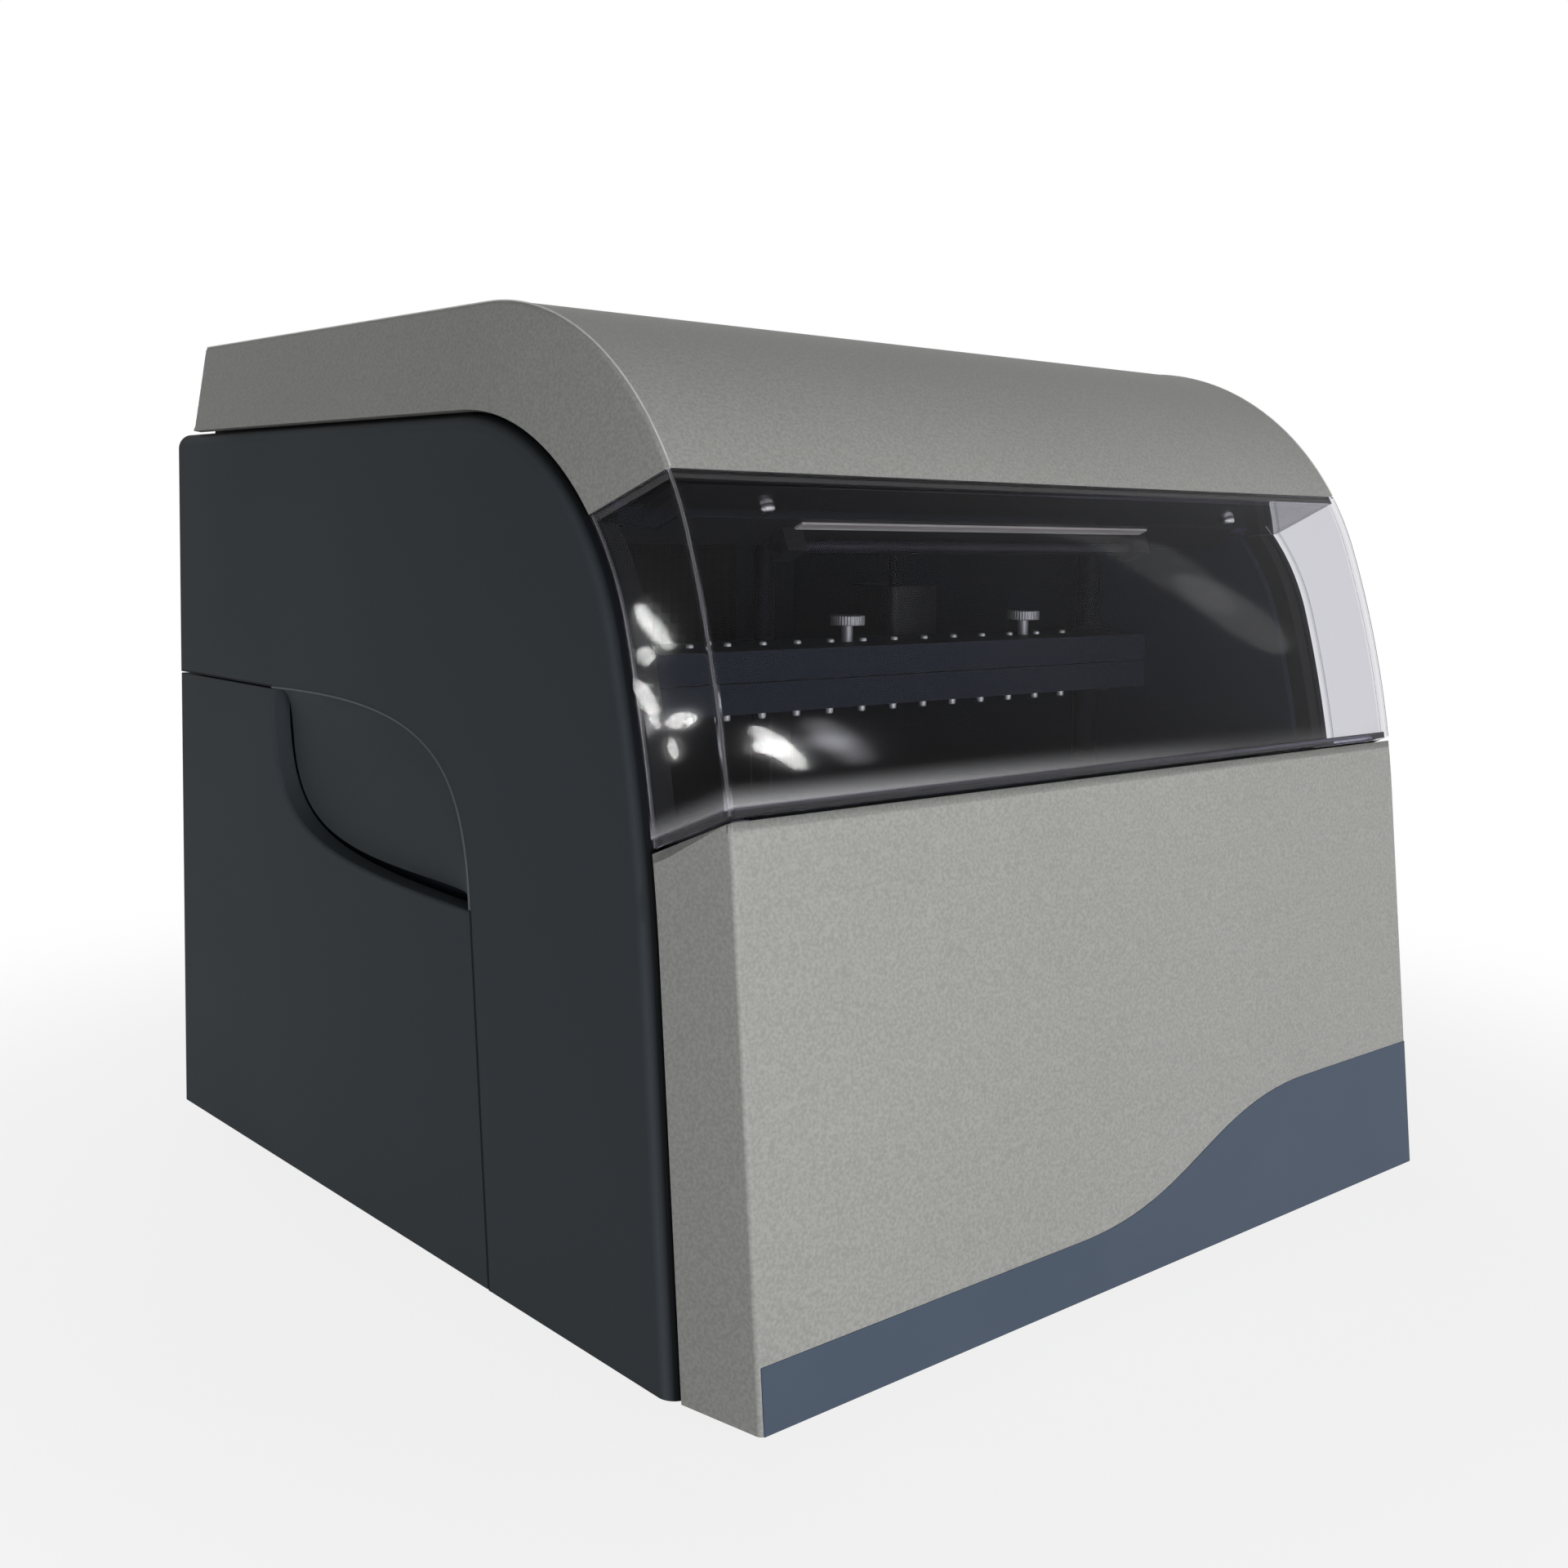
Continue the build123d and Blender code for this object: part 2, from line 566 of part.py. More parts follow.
# ---- door ----------------------------------------------------------------------------------------------
def make_hood(outer, shell):
    """Hood: top, side strips and a rear wall notched for the hinges, with bosses for the liner."""
    ahead = block((-REACH, REACH), (0, HOOD_WALL_Y), (0, REACH))
    wall = block((-REACH, REACH), (HOOD_WALL_Y, HOOD_BACK), (REAR_WALL_Z, REACH))
    hood = joined(shell & above_head() & ahead, outer & wall)
    notch_top = HINGE_Z + KNUCKLE_RADIUS + NOTCH_GAP
    for x in (-HINGE_X, HINGE_X):
        notch = block(around(x, HINGE_REACH + NOTCH_GAP), (HOOD_WALL_Y - 1, HOOD_BACK + 1), (0, notch_top))
        hood = hood - notch
    for x in (-LINER_HALF_WIDTH + LINER_BOSS_IN, LINER_HALF_WIDTH - LINER_BOSS_IN):
        for y in LINER_BOSS_YS:
            boss_z = (CREASE_TOP - LINER_INSET, CREASE_TOP - SHELL_WALL / 2)
            hood = hood + rod("z", (x, y), LINER_BOSS_RADIUS, boss_z)
    return hood


def make_window(outer, shell):
    """Clear window with an inward lip along its lower edge and a deep screwed lip along its head."""
    glass = shell & below_head() & above_sill()
    sill = (outer - front_body(WINDOW_BASE_LIP)) & above_sill() & below_sill(LIP_THICKNESS)
    head = (outer - front_body(WINDOW_HEAD_LIP)) & below_head() & above_head(-LIP_THICKNESS)
    window = joined(glass, sill, head)
    for x in (-DOOR_SCREW_X, DOOR_SCREW_X):
        span = (-2 * LIP_THICKNESS, LIP_THICKNESS)
        window = window - on_head(x, DOOR_SCREW_BACK, *span) * Cylinder(DOOR_SCREW_RADIUS, span[1] - span[0])
    return window


def make_crossbar():
    """Bar on the slope behind the window's head, with a holder below it for each end of the lamp."""
    size = (2 * LINER_HALF_WIDTH, CROSSBAR_DEPTH, CROSSBAR_THICKNESS)
    bar = on_head(0, CROSSBAR_BACK + CROSSBAR_DEPTH / 2, 0, CROSSBAR_THICKNESS) * Box(*size)
    for side in (-1, 1):
        x = side * (LAMP_HALF_LENGTH - LAMP_HOLDER[0] / 2)
        bar = bar + on_head(x, LAMP_BACK, -LAMP_HOLDER[2], 0) * Box(*LAMP_HOLDER)
        screw = on_head(side * DOOR_SCREW_X, DOOR_SCREW_BACK, 0, CROSSBAR_THICKNESS)
        bar = bar - screw * Cylinder(DOOR_SCREW_RADIUS, CROSSBAR_THICKNESS + 1)
    return bar - make_lamp()


def make_lamp():
    """Lamp tube under the crossbar."""
    return rod("x", head_point(LAMP_BACK, LAMP_DROP), LAMP_RADIUS, (-LAMP_HALF_LENGTH, LAMP_HALF_LENGTH))


def make_door_screws():
    """Domed screws that hold the window's head lip up to the crossbar."""
    screws = []
    for x in (-DOOR_SCREW_X, DOOR_SCREW_X):
        head_span = (-LIP_THICKNESS - DOOR_SCREW_DOME, -LIP_THICKNESS)
        shank = Cylinder(DOOR_SCREW_RADIUS, LIP_THICKNESS + CROSSBAR_THICKNESS)
        shank = on_head(x, DOOR_SCREW_BACK, -LIP_THICKNESS, CROSSBAR_THICKNESS) * shank
        dome = Cylinder(DOOR_SCREW_HEAD, DOOR_SCREW_DOME)
        dome = fillet(dome.edges().sort_by(Axis.Z)[0], DOOR_SCREW_ROUND)
        screws.append(shank + on_head(x, DOOR_SCREW_BACK, *head_span) * dome)
    return group(*screws)


def make_liner():
    """Liner under the hood, from the crossbar back to the hinges."""
    outer = crease_outline(LINER_INSET, LINER_BACK)
    inner = crease_outline(LINER_INSET + LINER_WALL, LINER_BACK + 1)
    return slab(outer - inner, -LINER_HALF_WIDTH, LINER_HALF_WIDTH) & above_head(CROSSBAR_THICKNESS)


# ---- hinges --------------------------------------------------------------------------------------------
def hinge_rod(x, radius, reach):
    return rod("x", (HINGE_Y, HINGE_Z), radius, around(x, reach))


def make_fixed_leaf(x):
    """Leaf on the back panel, with the hinge's middle knuckle."""
    span = around(x, FIXED_KNUCKLE / 2)
    bridge_low = HINGE_Z - KNUCKLE_RADIUS
    plate = block(span, (BACK_PANEL_Y - LEAF_THICKNESS, BACK_PANEL_Y), (HINGE_Z - LEAF_DROP, BACK_PANEL_TOP))
    bridge = block(span, (HINGE_Y, BACK_PANEL_Y), (bridge_low, bridge_low + LEAF_BRIDGE))
    leaf = joined(plate, bridge, hinge_rod(x, KNUCKLE_RADIUS, FIXED_KNUCKLE / 2))
    return leaf - hinge_rod(x, HINGE_PIN_RADIUS + PIN_CLEARANCE, FIXED_KNUCKLE)


def make_moving_leaf(x):
    """Leaf inside the hood's rear wall, with the hinge's two outer knuckles."""
    plate_y = (HOOD_WALL_Y - LEAF_THICKNESS, HOOD_WALL_Y)
    plate_low = HINGE_Z + KNUCKLE_RADIUS + LEAF_CLEARANCE
    leaf = block(around(x, HINGE_REACH), plate_y, (plate_low, CREASE_TOP - LINER_INSET - LEAF_TOP_GAP))
    for side in (-1, 1):
        middle = x + side * (HINGE_REACH - MOVING_KNUCKLE / 2)
        span = around(middle, MOVING_KNUCKLE / 2)
        knuckle = rod("x", (HINGE_Y, HINGE_Z), KNUCKLE_RADIUS, span)
        leaf = joined(leaf, knuckle, block(span, plate_y, (HINGE_Z, plate_low)))
    return leaf - hinge_rod(x, HINGE_PIN_RADIUS + PIN_CLEARANCE, HINGE_REACH + 1)


def make_hinge_pin(x):
    return hinge_rod(x, HINGE_PIN_RADIUS, HINGE_REACH + PIN_END)


# ---- side panels ---------------------------------------------------------------------------------------
def leaf_corners():
    """Upper back and lower front corner of the leaf-shaped scoop."""
    front = (SEAM_Y + crease_y(RECESS_FRONT_Z), RECESS_FRONT_Z)
    return (front[0] + RECESS_LENGTH - crease_y(RECESS_FRONT_Z), SEAM_Z), front


def handle(share):
    """A point of the scoop's box, by its share of the length and height from the lower front corner."""
    back, front = leaf_corners()
    return tuple(low + part * (high - low) for low, high, part in zip(front, back, share))


def lower_curve(shrink=0.0):
    """Control points of the scoop's lower edge; shrink pulls the curve inwards between its ends."""
    back, front = leaf_corners()
    rear, ahead = (handle(share) for share in LOWER_EDGE_HANDLES)
    return [back, (rear[0] - shrink, rear[1]), (ahead[0] - shrink, ahead[1] + shrink), front]


def upper_curve(grow=0.0):
    """Control points of the scoop's upper edge; grow moves the curve up and forwards."""
    back, front = leaf_corners()
    points = [back, *[handle(share) for share in UPPER_EDGE_HANDLES], front]
    return [(y - grow, z + grow) for y, z in points]


def curve(points):
    return Edge.make_bezier(*[Vector(0, *p) for p in points])


def line(start, end):
    return Edge.make_line(Vector(0, *start), Vector(0, *end))


def lower_region(gap):
    """Outline of the lower side panel; gap pulls its front and upper seams back."""
    shifted = [(y + gap, z - gap) for y, z in lower_curve()]
    corner, foot = (CASE_DEPTH, SEAM_Z - gap), (SEAM_Y + gap, 0.0)
    return Face(Wire([
        line((CASE_DEPTH, 0.0), corner),
        line(corner, shifted[0]),
        curve(shifted),
        line(shifted[3], foot),
        line(foot, (CASE_DEPTH, 0.0)),
    ]))


def scoop():
    """Cutter that starts at the panel's face along the upper curve and is deepest along the lower one."""
    mouth = Face(Wire([curve(lower_curve()), curve(upper_curve())]))
    floor = Face(Wire([curve(lower_curve()), curve(lower_curve(RECESS_FLOOR))]))
    cutter = loft([at_x(mouth, HALF_WIDTH), at_x(floor, HALF_WIDTH - RECESS_DEPTH)], ruled=True)
    return cutter + slab(mouth, HALF_WIDTH, HALF_WIDTH + 1)


def scoop_backing():
    """Thicker wall behind the scoop."""
    back, front = upper_curve(RECESS_MARGIN)[0], upper_curve(RECESS_MARGIN)[3]
    low = [back, *lower_curve()[1:3], front]
    area = Face(Wire([curve(low), curve(upper_curve(RECESS_MARGIN))]))
    return slab(area, HALF_WIDTH - RECESS_DEPTH - RECESS_BACKING, PANEL_IN + PANEL_WALL / 2)


def outer_edges(shape):
    """Edges on the panel's outer face."""
    return [edge for edge in shape.edges() if abs(edge.center().X - HALF_WIDTH) < 0.01]


def make_upper_panel():
    """Side panel that wraps over the top and front, with the scooped recess."""
    skin = slab(rim_outline(PANEL_SETBACK, CASE_DEPTH), PANEL_RIM_X, HALF_WIDTH)
    round_edges = [e for e in outer_edges(skin) if e.center().Z > 1 and e.center().Y < CASE_DEPTH - 1]
    skin = fillet(round_edges, PANEL_EDGE_RADIUS)
    hollow = rim_outline(PANEL_SETBACK + PANEL_RIM_WALL, CASE_DEPTH - PANEL_RIM_WALL, PANEL_RIM_WALL)
    panel = skin - slab(hollow, PANEL_RIM_X - 1, PANEL_IN)
    panel = joined(panel, scoop_backing())
    panel = cut(panel, slab(lower_region(0), 0, HALF_WIDTH + 1), scoop())
    bosses = [rod("x", place, PANEL_BOSS_RADIUS, (INNER_WALL_OUT, PANEL_IN)) for place in UPPER_BOSSES]
    return joined(panel, *bosses)


def make_lower_panel():
    """Rear lower side panel; its curved upper corner stands over the scoop as a step."""
    panel = slab(lower_region(SEAM_GAP), PANEL_RIM_X, HALF_WIDTH)
    curved = [edge for edge in outer_edges(panel) if edge.geom_type in (GeomType.BEZIER, GeomType.BSPLINE)]
    panel = fillet(curved, SEAM_STEP_RADIUS)
    room = block((0, PANEL_IN), (0, CASE_DEPTH - PANEL_RIM_WALL), (PANEL_RIM_WALL, SEAM_Z))
    panel = panel - (slab(lower_region(SEAM_GAP + PANEL_RIM_WALL), 0, PANEL_IN) & room)
    bosses = [rod("x", place, PANEL_BOSS_RADIUS, (INNER_WALL_OUT, PANEL_IN)) for place in LOWER_BOSSES]
    return joined(panel, *bosses)


def make_inner_wall():
    """Inner side wall: follows the rim a little way in, from the base to under the hood."""
    return slab(rim_outline(INNER_WALL_INSET, BACK_PANEL_Y, BASE_TOP), INNER_WALL_X, INNER_WALL_OUT)


def make_side_seal():
    """Channel on the inner wall along the door's edge, closing the gap behind the side panel's rim."""
    back = HOOD_BACK - CHANNEL_SHORT
    edge = rim_outline(PANEL_SETBACK + CHANNEL_GAP, back, DECK_Z) - rim_outline(INNER_WALL_INSET, HOOD_BACK)
    foot = rim_outline(INNER_WALL_INSET, back, DECK_Z) - rim_outline(INNER_WALL_INSET + BUSH_STAND, HOOD_BACK)
    channel = slab(edge, INNER_WALL_OUT, PANEL_RIM_X - CHANNEL_SIDE_GAP)
    return channel + slab(foot, INNER_WALL_OUT, INNER_WALL_OUT + CHANNEL_FOOT)


# ---- front ---------------------------------------------------------------------------------------------
def make_front_panel(outer, shell):
    """Front panel with its two side strips and a ledge under the window's sill."""
    below = below_sill(-WINDOW_GAP)
    ledge = (outer - front_body(SHELF_DEPTH)) & below & above_sill(-WINDOW_GAP - LIP_THICKNESS)
    return (shell & below) + ledge


def make_sill_seal():
    """Rubber strip on the front panel's ledge that the window's lower lip closes on."""
    ring = front_body(SHELL_WALL) - front_body(SHELL_WALL + SEAL_WIDTH)
    slot = below_sill(-SEAL_GAP) & above_sill(-WINDOW_GAP)
    half = CREASE_X - SHELF_DEPTH
    return ring & slot & block((-half, half), (0, CASE_DEPTH), (0, CREASE_TOP))


def make_front_band():
    """Thin coloured band over the front's lower edge, with a wave up to one side."""
    half = CREASE_X - BAND_END_GAP
    bend = BAND_EASE * (BAND_RISE_END - BAND_RISE_START)
    low, high = BAND_LOW_Z, BAND_HIGH_Z
    start, end = BAND_RISE_START, BAND_RISE_END
    corners = [(-half, low), (-half, 0), (half, 0), (half, high), (end, high)]
    wave = [(end, high), (end - bend, high), (start + bend, low), (start, low)]
    edges = [Edge.make_line((*a, 0), (*b, 0)) for a, b in zip(corners, corners[1:])]
    edges.append(Edge.make_bezier(*[(*p, 0) for p in wave]))
    edges.append(Edge.make_line((start, low, 0), (-half, low, 0)))
    return Rot(90 - FRONT_LEAN, 0, 0) * extrude(Face(Wire(edges)), BAND_THICKNESS, dir=(0, 0, 1))


# ---- chassis -------------------------------------------------------------------------------------------
def make_base():
    """Base plate that reaches the front panel, with a folded-up edge inside each wall."""
    front = SHELL_WALL / cos(LEAN) + crease_y(BASE_TOP)
    wing_front = RIM_SETBACK + INNER_WALL_INSET
    plate = block((-INNER_WALL_OUT, INNER_WALL_OUT), (front, BACK_PANEL_Y), (BASE_GAP, BASE_TOP))
    wing_half = PANEL_RIM_X - RUNNING_GAP
    wings = block((-wing_half, wing_half), (wing_front, BACK_PANEL_Y), (BASE_GAP, BASE_TOP))
    fold_x = (INNER_WALL_X - SHEET, INNER_WALL_X)
    fold = block(fold_x, (wing_front, BACK_PANEL_Y), (BASE_TOP, BASE_TOP + BASE_FOLD))
    return joined(plate, wings, fold, mirrored(fold))


def make_feet():
    feet = []
    for x in (-FOOT_X, FOOT_X):
        for y in (FOOT_FRONT_Y, BACK_PANEL_Y - FOOT_BACK_GAP):
            foot = rod("z", (x, y), FOOT_RADIUS, (-FOOT_HEIGHT, BASE_GAP))
            feet.append(fillet(foot.edges().sort_by(Axis.Z)[0], FOOT_EDGE))
    return group(*feet)


def make_back_panel():
    """Rear sheet with slots behind the fan, a louvre field and cut-outs for the rear fittings."""
    half = PANEL_RIM_X - 1
    panel = block((-half, half), (BACK_PANEL_Y, CASE_DEPTH), (BASE_GAP, BACK_PANEL_TOP))
    through = (BACK_PANEL_Y - 1, CASE_DEPTH + 1)
    cuts = [inlet_block(FIT_GAP), switch_block(FIT_GAP)]
    cuts += [port_block(i, FIT_GAP) for i in range(PORT_COUNT)]
    rows = int(FAN_BORE / SLOT_PITCH)
    for i in range(-rows, rows + 1):
        reach = (FAN_BORE**2 - (i * SLOT_PITCH) ** 2) ** 0.5 - BLADE_TIP_GAP
        cuts.append(block(around(FAN_X, reach), through, around(FAN_Z + i * SLOT_PITCH, SLOT_WIDTH / 2)))
    for i in range(VENT_COUNT):
        cuts.append(block(VENT_X, through, around(VENT_Z + i * VENT_PITCH, VENT_WIDTH / 2)))
    return cut(panel, *cuts)


def make_back_screws():
    span = (CASE_DEPTH, CASE_DEPTH + BACK_SCREW_HEAD)
    xs = (BACK_SCREW_IN - HALF_WIDTH, HALF_WIDTH - BACK_SCREW_IN)
    return group(*[rod("y", (x, z), BACK_SCREW_RADIUS, span) for x in xs for z in BACK_SCREW_ZS])


def make_deck():
    """Deck plate over the electronics bay, with a boss that carries the front pulley's spindle."""
    plate = block((-INNER_WALL_X, INNER_WALL_X), (DECK_FRONT, BACK_PANEL_Y), (DECK_Z - SHEET, DECK_Z))
    boss_top = DECK_Z + IDLER_BOSS_RISE
    boss = rod("z", (0, PULLEY_FRONT_Y), IDLER_BOSS, (DECK_Z - SHEET, boss_top))
    relief = rod("z", (0, PULLEY_BACK_Y), PULLEY_RELIEF, (DECK_Z - SHEET - 1, DECK_Z + 1))
    bore = rod("z", (0, PULLEY_FRONT_Y), SPINDLE_RADIUS + PIN_CLEARANCE, (DECK_Z, boss_top + 1))
    return cut(plate + boss, relief, bore)


def make_cross_beams():
    """Beam that carries the guide rods and drive motor, and a rail behind it under the hinges."""
    back = SCREW_Y + MOTOR_SIDE / 2 + BEAM_MARGIN
    through = (BEAM_Z - 1, BEAM_TOP + 1)
    beam = block((-INNER_WALL_X, INNER_WALL_X), (ROD_Y - BEAM_FORE, back), (BEAM_Z, BEAM_TOP))
    beam = beam - rod("z", (0, SCREW_Y), MOTOR_PILOT, through)
    for x in (-GUIDE_ROD_X, GUIDE_ROD_X):
        beam = beam - rod("z", (x, ROD_Y), GUIDE_ROD_RADIUS, through)
    rail_top = RIM_TOP - INNER_WALL_INSET - BUSH_STAND
    rail_y = (BACK_PANEL_Y - REAR_RAIL_AHEAD - INNER_WALL, BACK_PANEL_Y - REAR_RAIL_AHEAD)
    rail = block((-INNER_WALL_X, INNER_WALL_X), rail_y, (rail_top - REAR_RAIL_HEIGHT, rail_top))
    return group(beam, rail)


def make_guide_rods():
    span = (DECK_Z, BEAM_TOP)
    return group(*[rod("z", (x, ROD_Y), GUIDE_ROD_RADIUS, span) for x in (-GUIDE_ROD_X, GUIDE_ROD_X)])


# ---- plunger and magnet bars ---------------------------------------------------------------------------
def bar_block(z):
    return block((-BAR_HALF_WIDTH, BAR_HALF_WIDTH), (BAR_FRONT, BAR_BACK), z)


def bush_holes(through):
    radius = GUIDE_ROD_RADIUS + BUSH_WALL
    return [rod("z", (x, ROD_Y), radius, through) for x in (-GUIDE_ROD_X, GUIDE_ROD_X)]


def lug(x, half, back, z):
    return block(around(x, half), (BAR_BACK, back), (z, z + LUG_THICKNESS))


def make_plunger_bar():
    """Lower bar: carries the collars and, behind, the drive nut's lug and the lift screw's foot."""
    z = (PLUNGER_BAR_Z, PLUNGER_BAR_TOP)
    through = (z[0] - 1, z[1] + 1)
    nut_half = NUT_RADIUS + NUT_FLANGE + LUG_MARGIN
    foot_half = LIFT_SCREW_RADIUS + 2 * LUG_MARGIN
    nut_lug = lug(0, nut_half, SCREW_Y + nut_half, z[0])
    foot = lug(LIFT_SCREW_X, foot_half, SCREW_Y + foot_half, z[0])
    bar = cut(joined(bar_block(z), nut_lug, foot), *bush_holes(through))
    for x in ROD_XS:
        seat = rod("z", (x, ROD_Y), COLLAR_RADIUS, (z[0] - 1, z[1] - COLLAR_SEAT))
        bar = cut(bar, seat, rod("z", (x, ROD_Y), ROD_RADIUS + ROD_CLEARANCE, through))
    screw_hole = rod("z", (0, SCREW_Y), SCREW_RADIUS + RUNNING_GAP, through)
    return cut(bar, screw_hole, rod("z", (LIFT_SCREW_X, SCREW_Y), LIFT_SCREW_RADIUS, through))


def make_magnet_bar():
    """Upper bar that carries the magnet rods, with a shelf behind for the lift motor."""
    z = (MAGNET_BAR_Z, MAGNET_BAR_TOP)
    through = (z[0] - 1, z[1] + 1)
    half = LIFT_MOTOR_SIDE / 2 + LUG_MARGIN
    bar = bar_block(z) + lug(LIFT_SCREW_X, half, SCREW_Y + half, z[0])
    bar = cut(bar, *bush_holes(through))
    bar = cut(bar, *[rod("z", (x, ROD_Y), ROD_RADIUS, through) for x in ROD_XS])
    stem_hole = THUMB_STEM_RADIUS + PIN_CLEARANCE
    bar = cut(bar, *[rod("z", (x, ROD_Y), stem_hole, (z[0] + THUMB_STEM_SEAT, z[1] + 1)) for x in THUMB_XS])
    return bar - rod("z", (LIFT_SCREW_X, SCREW_Y), LIFT_SCREW_RADIUS + 2 * LIFT_SCREW_CLEARANCE, through)


def make_bushes(low, height, flange):
    """Flanged bushes that run on the guide rods, one at each end of a bar; flange is its (low, high)."""
    bushes = []
    for x in (-GUIDE_ROD_X, GUIDE_ROD_X):
        bush = rod("z", (x, ROD_Y), GUIDE_ROD_RADIUS + BUSH_WALL, (low, low + height))
        bush = bush + rod("z", (x, ROD_Y), GUIDE_ROD_RADIUS + BUSH_WALL + BUSH_FLANGE, flange)
        bushes.append(bush - rod("z", (x, ROD_Y), GUIDE_ROD_RADIUS + GUIDE_CLEARANCE, (0, CREASE_TOP)))
    return group(*bushes)


def make_collars():
    """Plunger collars pressed up into the plunger bar, each bored for its magnet rod."""
    span = (PLUNGER_BAR_Z - COLLAR_DROP, PLUNGER_BAR_TOP - COLLAR_SEAT)
    collars = []
    for x in ROD_XS:
        bore = rod("z", (x, ROD_Y), ROD_RADIUS + ROD_CLEARANCE, (0, CREASE_TOP))
        collars.append(rod("z", (x, ROD_Y), COLLAR_RADIUS, span) - bore)
    return group(*collars)


def make_magnet_rods():
    return group(*[rod("z", (x, ROD_Y), ROD_RADIUS, (ROD_TIP_Z, MAGNET_BAR_TOP + ROD_RISE)) for x in ROD_XS])


def make_thumb_screw(x):
    """Screw with a tall stem and a knurled head, the head as one toothed outline."""
    head_z = MAGNET_BAR_TOP + THUMB_STEM_RISE
    points = []
    for i in range(2 * KNURL_COUNT):
        radius = THUMB_HEAD_RADIUS - (KNURL_DEPTH if i % 2 else 0)
        angle = pi * i / KNURL_COUNT
        points.append((radius * cos(angle), radius * sin(angle), head_z))
    head = extrude(make_face(Polyline(*points, close=True)), THUMB_HEAD_HEIGHT, dir=(0, 0, 1))
    stem = rod("z", (0, 0), THUMB_STEM_RADIUS, (MAGNET_BAR_Z + THUMB_STEM_SEAT, head_z))
    return Pos(x, ROD_Y, 0) * (stem + head)


# ---- screws and motors ---------------------------------------------------------------------------------
def make_motor(x, y, side, z, bore):
    """Square motor body with bevelled corners, bored through for its shaft or screw."""
    body = chamfer(block(around(0, side / 2), around(0, side / 2), z).edges().filter_by(Axis.Z), MOTOR_BEVEL)
    return Pos(x, y, 0) * (body - rod("z", (0, 0), bore, (z[0] - 1, z[1] + 1)))


def make_drive_screw():
    """Plunger drive screw with a journal that turns in its motor."""
    thread = rod("z", (0, SCREW_Y), SCREW_RADIUS, (SCREW_END_Z, BEAM_TOP - 1))
    journal_span = (BEAM_TOP - 1, BEAM_TOP + MOTOR_HEIGHT - JOURNAL_SHORT)
    return thread + rod("z", (0, SCREW_Y), JOURNAL_RADIUS, journal_span)


def make_drive_nut():
    """Flanged nut on the plunger bar's lug."""
    low = PLUNGER_BAR_Z + LUG_THICKNESS
    flange = rod("z", (0, SCREW_Y), NUT_RADIUS + NUT_FLANGE, (low, low + NUT_FLANGE_WALL))
    barrel = rod("z", (0, SCREW_Y), NUT_RADIUS, (low, low + NUT_HEIGHT))
    bore = rod("z", (0, SCREW_Y), SCREW_RADIUS + PIN_CLEARANCE, (low - 1, low + NUT_HEIGHT + 1))
    return flange + barrel - bore


def make_lift_screw():
    return rod("z", (LIFT_SCREW_X, SCREW_Y), LIFT_SCREW_RADIUS, (PLUNGER_BAR_Z, LIFT_SCREW_TOP))


# ---- platform ------------------------------------------------------------------------------------------
def clip_pivot(side):
    """(x, z) of a tray clip's pin."""
    return (side * (PLATFORM_HALF_WIDTH - PLATFORM_RIM / 2), PLATFORM_TOP + CLIP_PIVOT_RISE)


def make_platform():
    """Sliding platform: a seat for the cartridge tray inside a low rim, with an eye for each tray clip."""
    rim_top = PLATFORM_TOP + PLATFORM_RIM_HEIGHT
    x, y = around(0, PLATFORM_HALF_WIDTH), around(PLATFORM_MIDDLE, PLATFORM_LENGTH / 2)
    seat = block(around(0, x[1] - PLATFORM_RIM), around(PLATFORM_MIDDLE, PLATFORM_LENGTH / 2 - PLATFORM_RIM),
                 (PLATFORM_TOP, rim_top + 1))
    plate = block(x, y, (PLATFORM_Z, rim_top)) - seat
    for side in (-1, 1):
        notch_x = sorted((side * (PLATFORM_HALF_WIDTH - PLATFORM_RIM), side * (PLATFORM_HALF_WIDTH + 1)))
        notch = block(notch_x, around(CLIP_Y, CLIP_LENGTH / 2 + RUNNING_GAP), (PLATFORM_TOP, rim_top + 1))
        reach = CLIP_LENGTH / 2 + RUNNING_GAP + CLIP_CHEEK
        bore = rod("y", clip_pivot(side), CLIP_PIN_RADIUS + PIN_CLEARANCE, around(CLIP_Y, reach))
        plate = cut(plate, notch, bore)
    return plate


def make_clip(side):
    """Clip that holds the cartridge tray down, turning on its own pin."""
    x, z = clip_pivot(side)
    y = around(CLIP_Y, CLIP_LENGTH / 2)
    lever = block(around(x, CLIP_LEVER_WALL / 2), y, (z, z + CLIP_LEVER))
    hook = block(sorted((x - side * CLIP_HOOK, x)), y, (z + CLIP_LEVER - CLIP_HOOK_WALL, z + CLIP_LEVER))
    pin = rod("y", (x, z), CLIP_PIN_RADIUS, around(CLIP_Y, CLIP_LENGTH / 2 + CLIP_CHEEK))
    return joined(rod("y", (x, z), CLIP_BARREL, y), lever, hook, pin)


def make_heater():
    """Heated block along the platform's front, with a slot where the elution tubes stand."""
    half = PLATFORM_HALF_WIDTH - PLATFORM_RIM
    y = (PLATFORM_FRONT + PLATFORM_RIM, PLATFORM_FRONT + PLATFORM_RIM + HEATER_DEPTH)
    top = PLATFORM_TOP + HEATER_HEIGHT
    heater = block((-half, half), y, (PLATFORM_TOP, top))
    slot_y = around(sum(y) / 2, TUBE_SLOT_WIDTH / 2)
    return heater - block(around(0, half - TUBE_SLOT_END), slot_y, (top - TUBE_SLOT_DEPTH, top + 1))


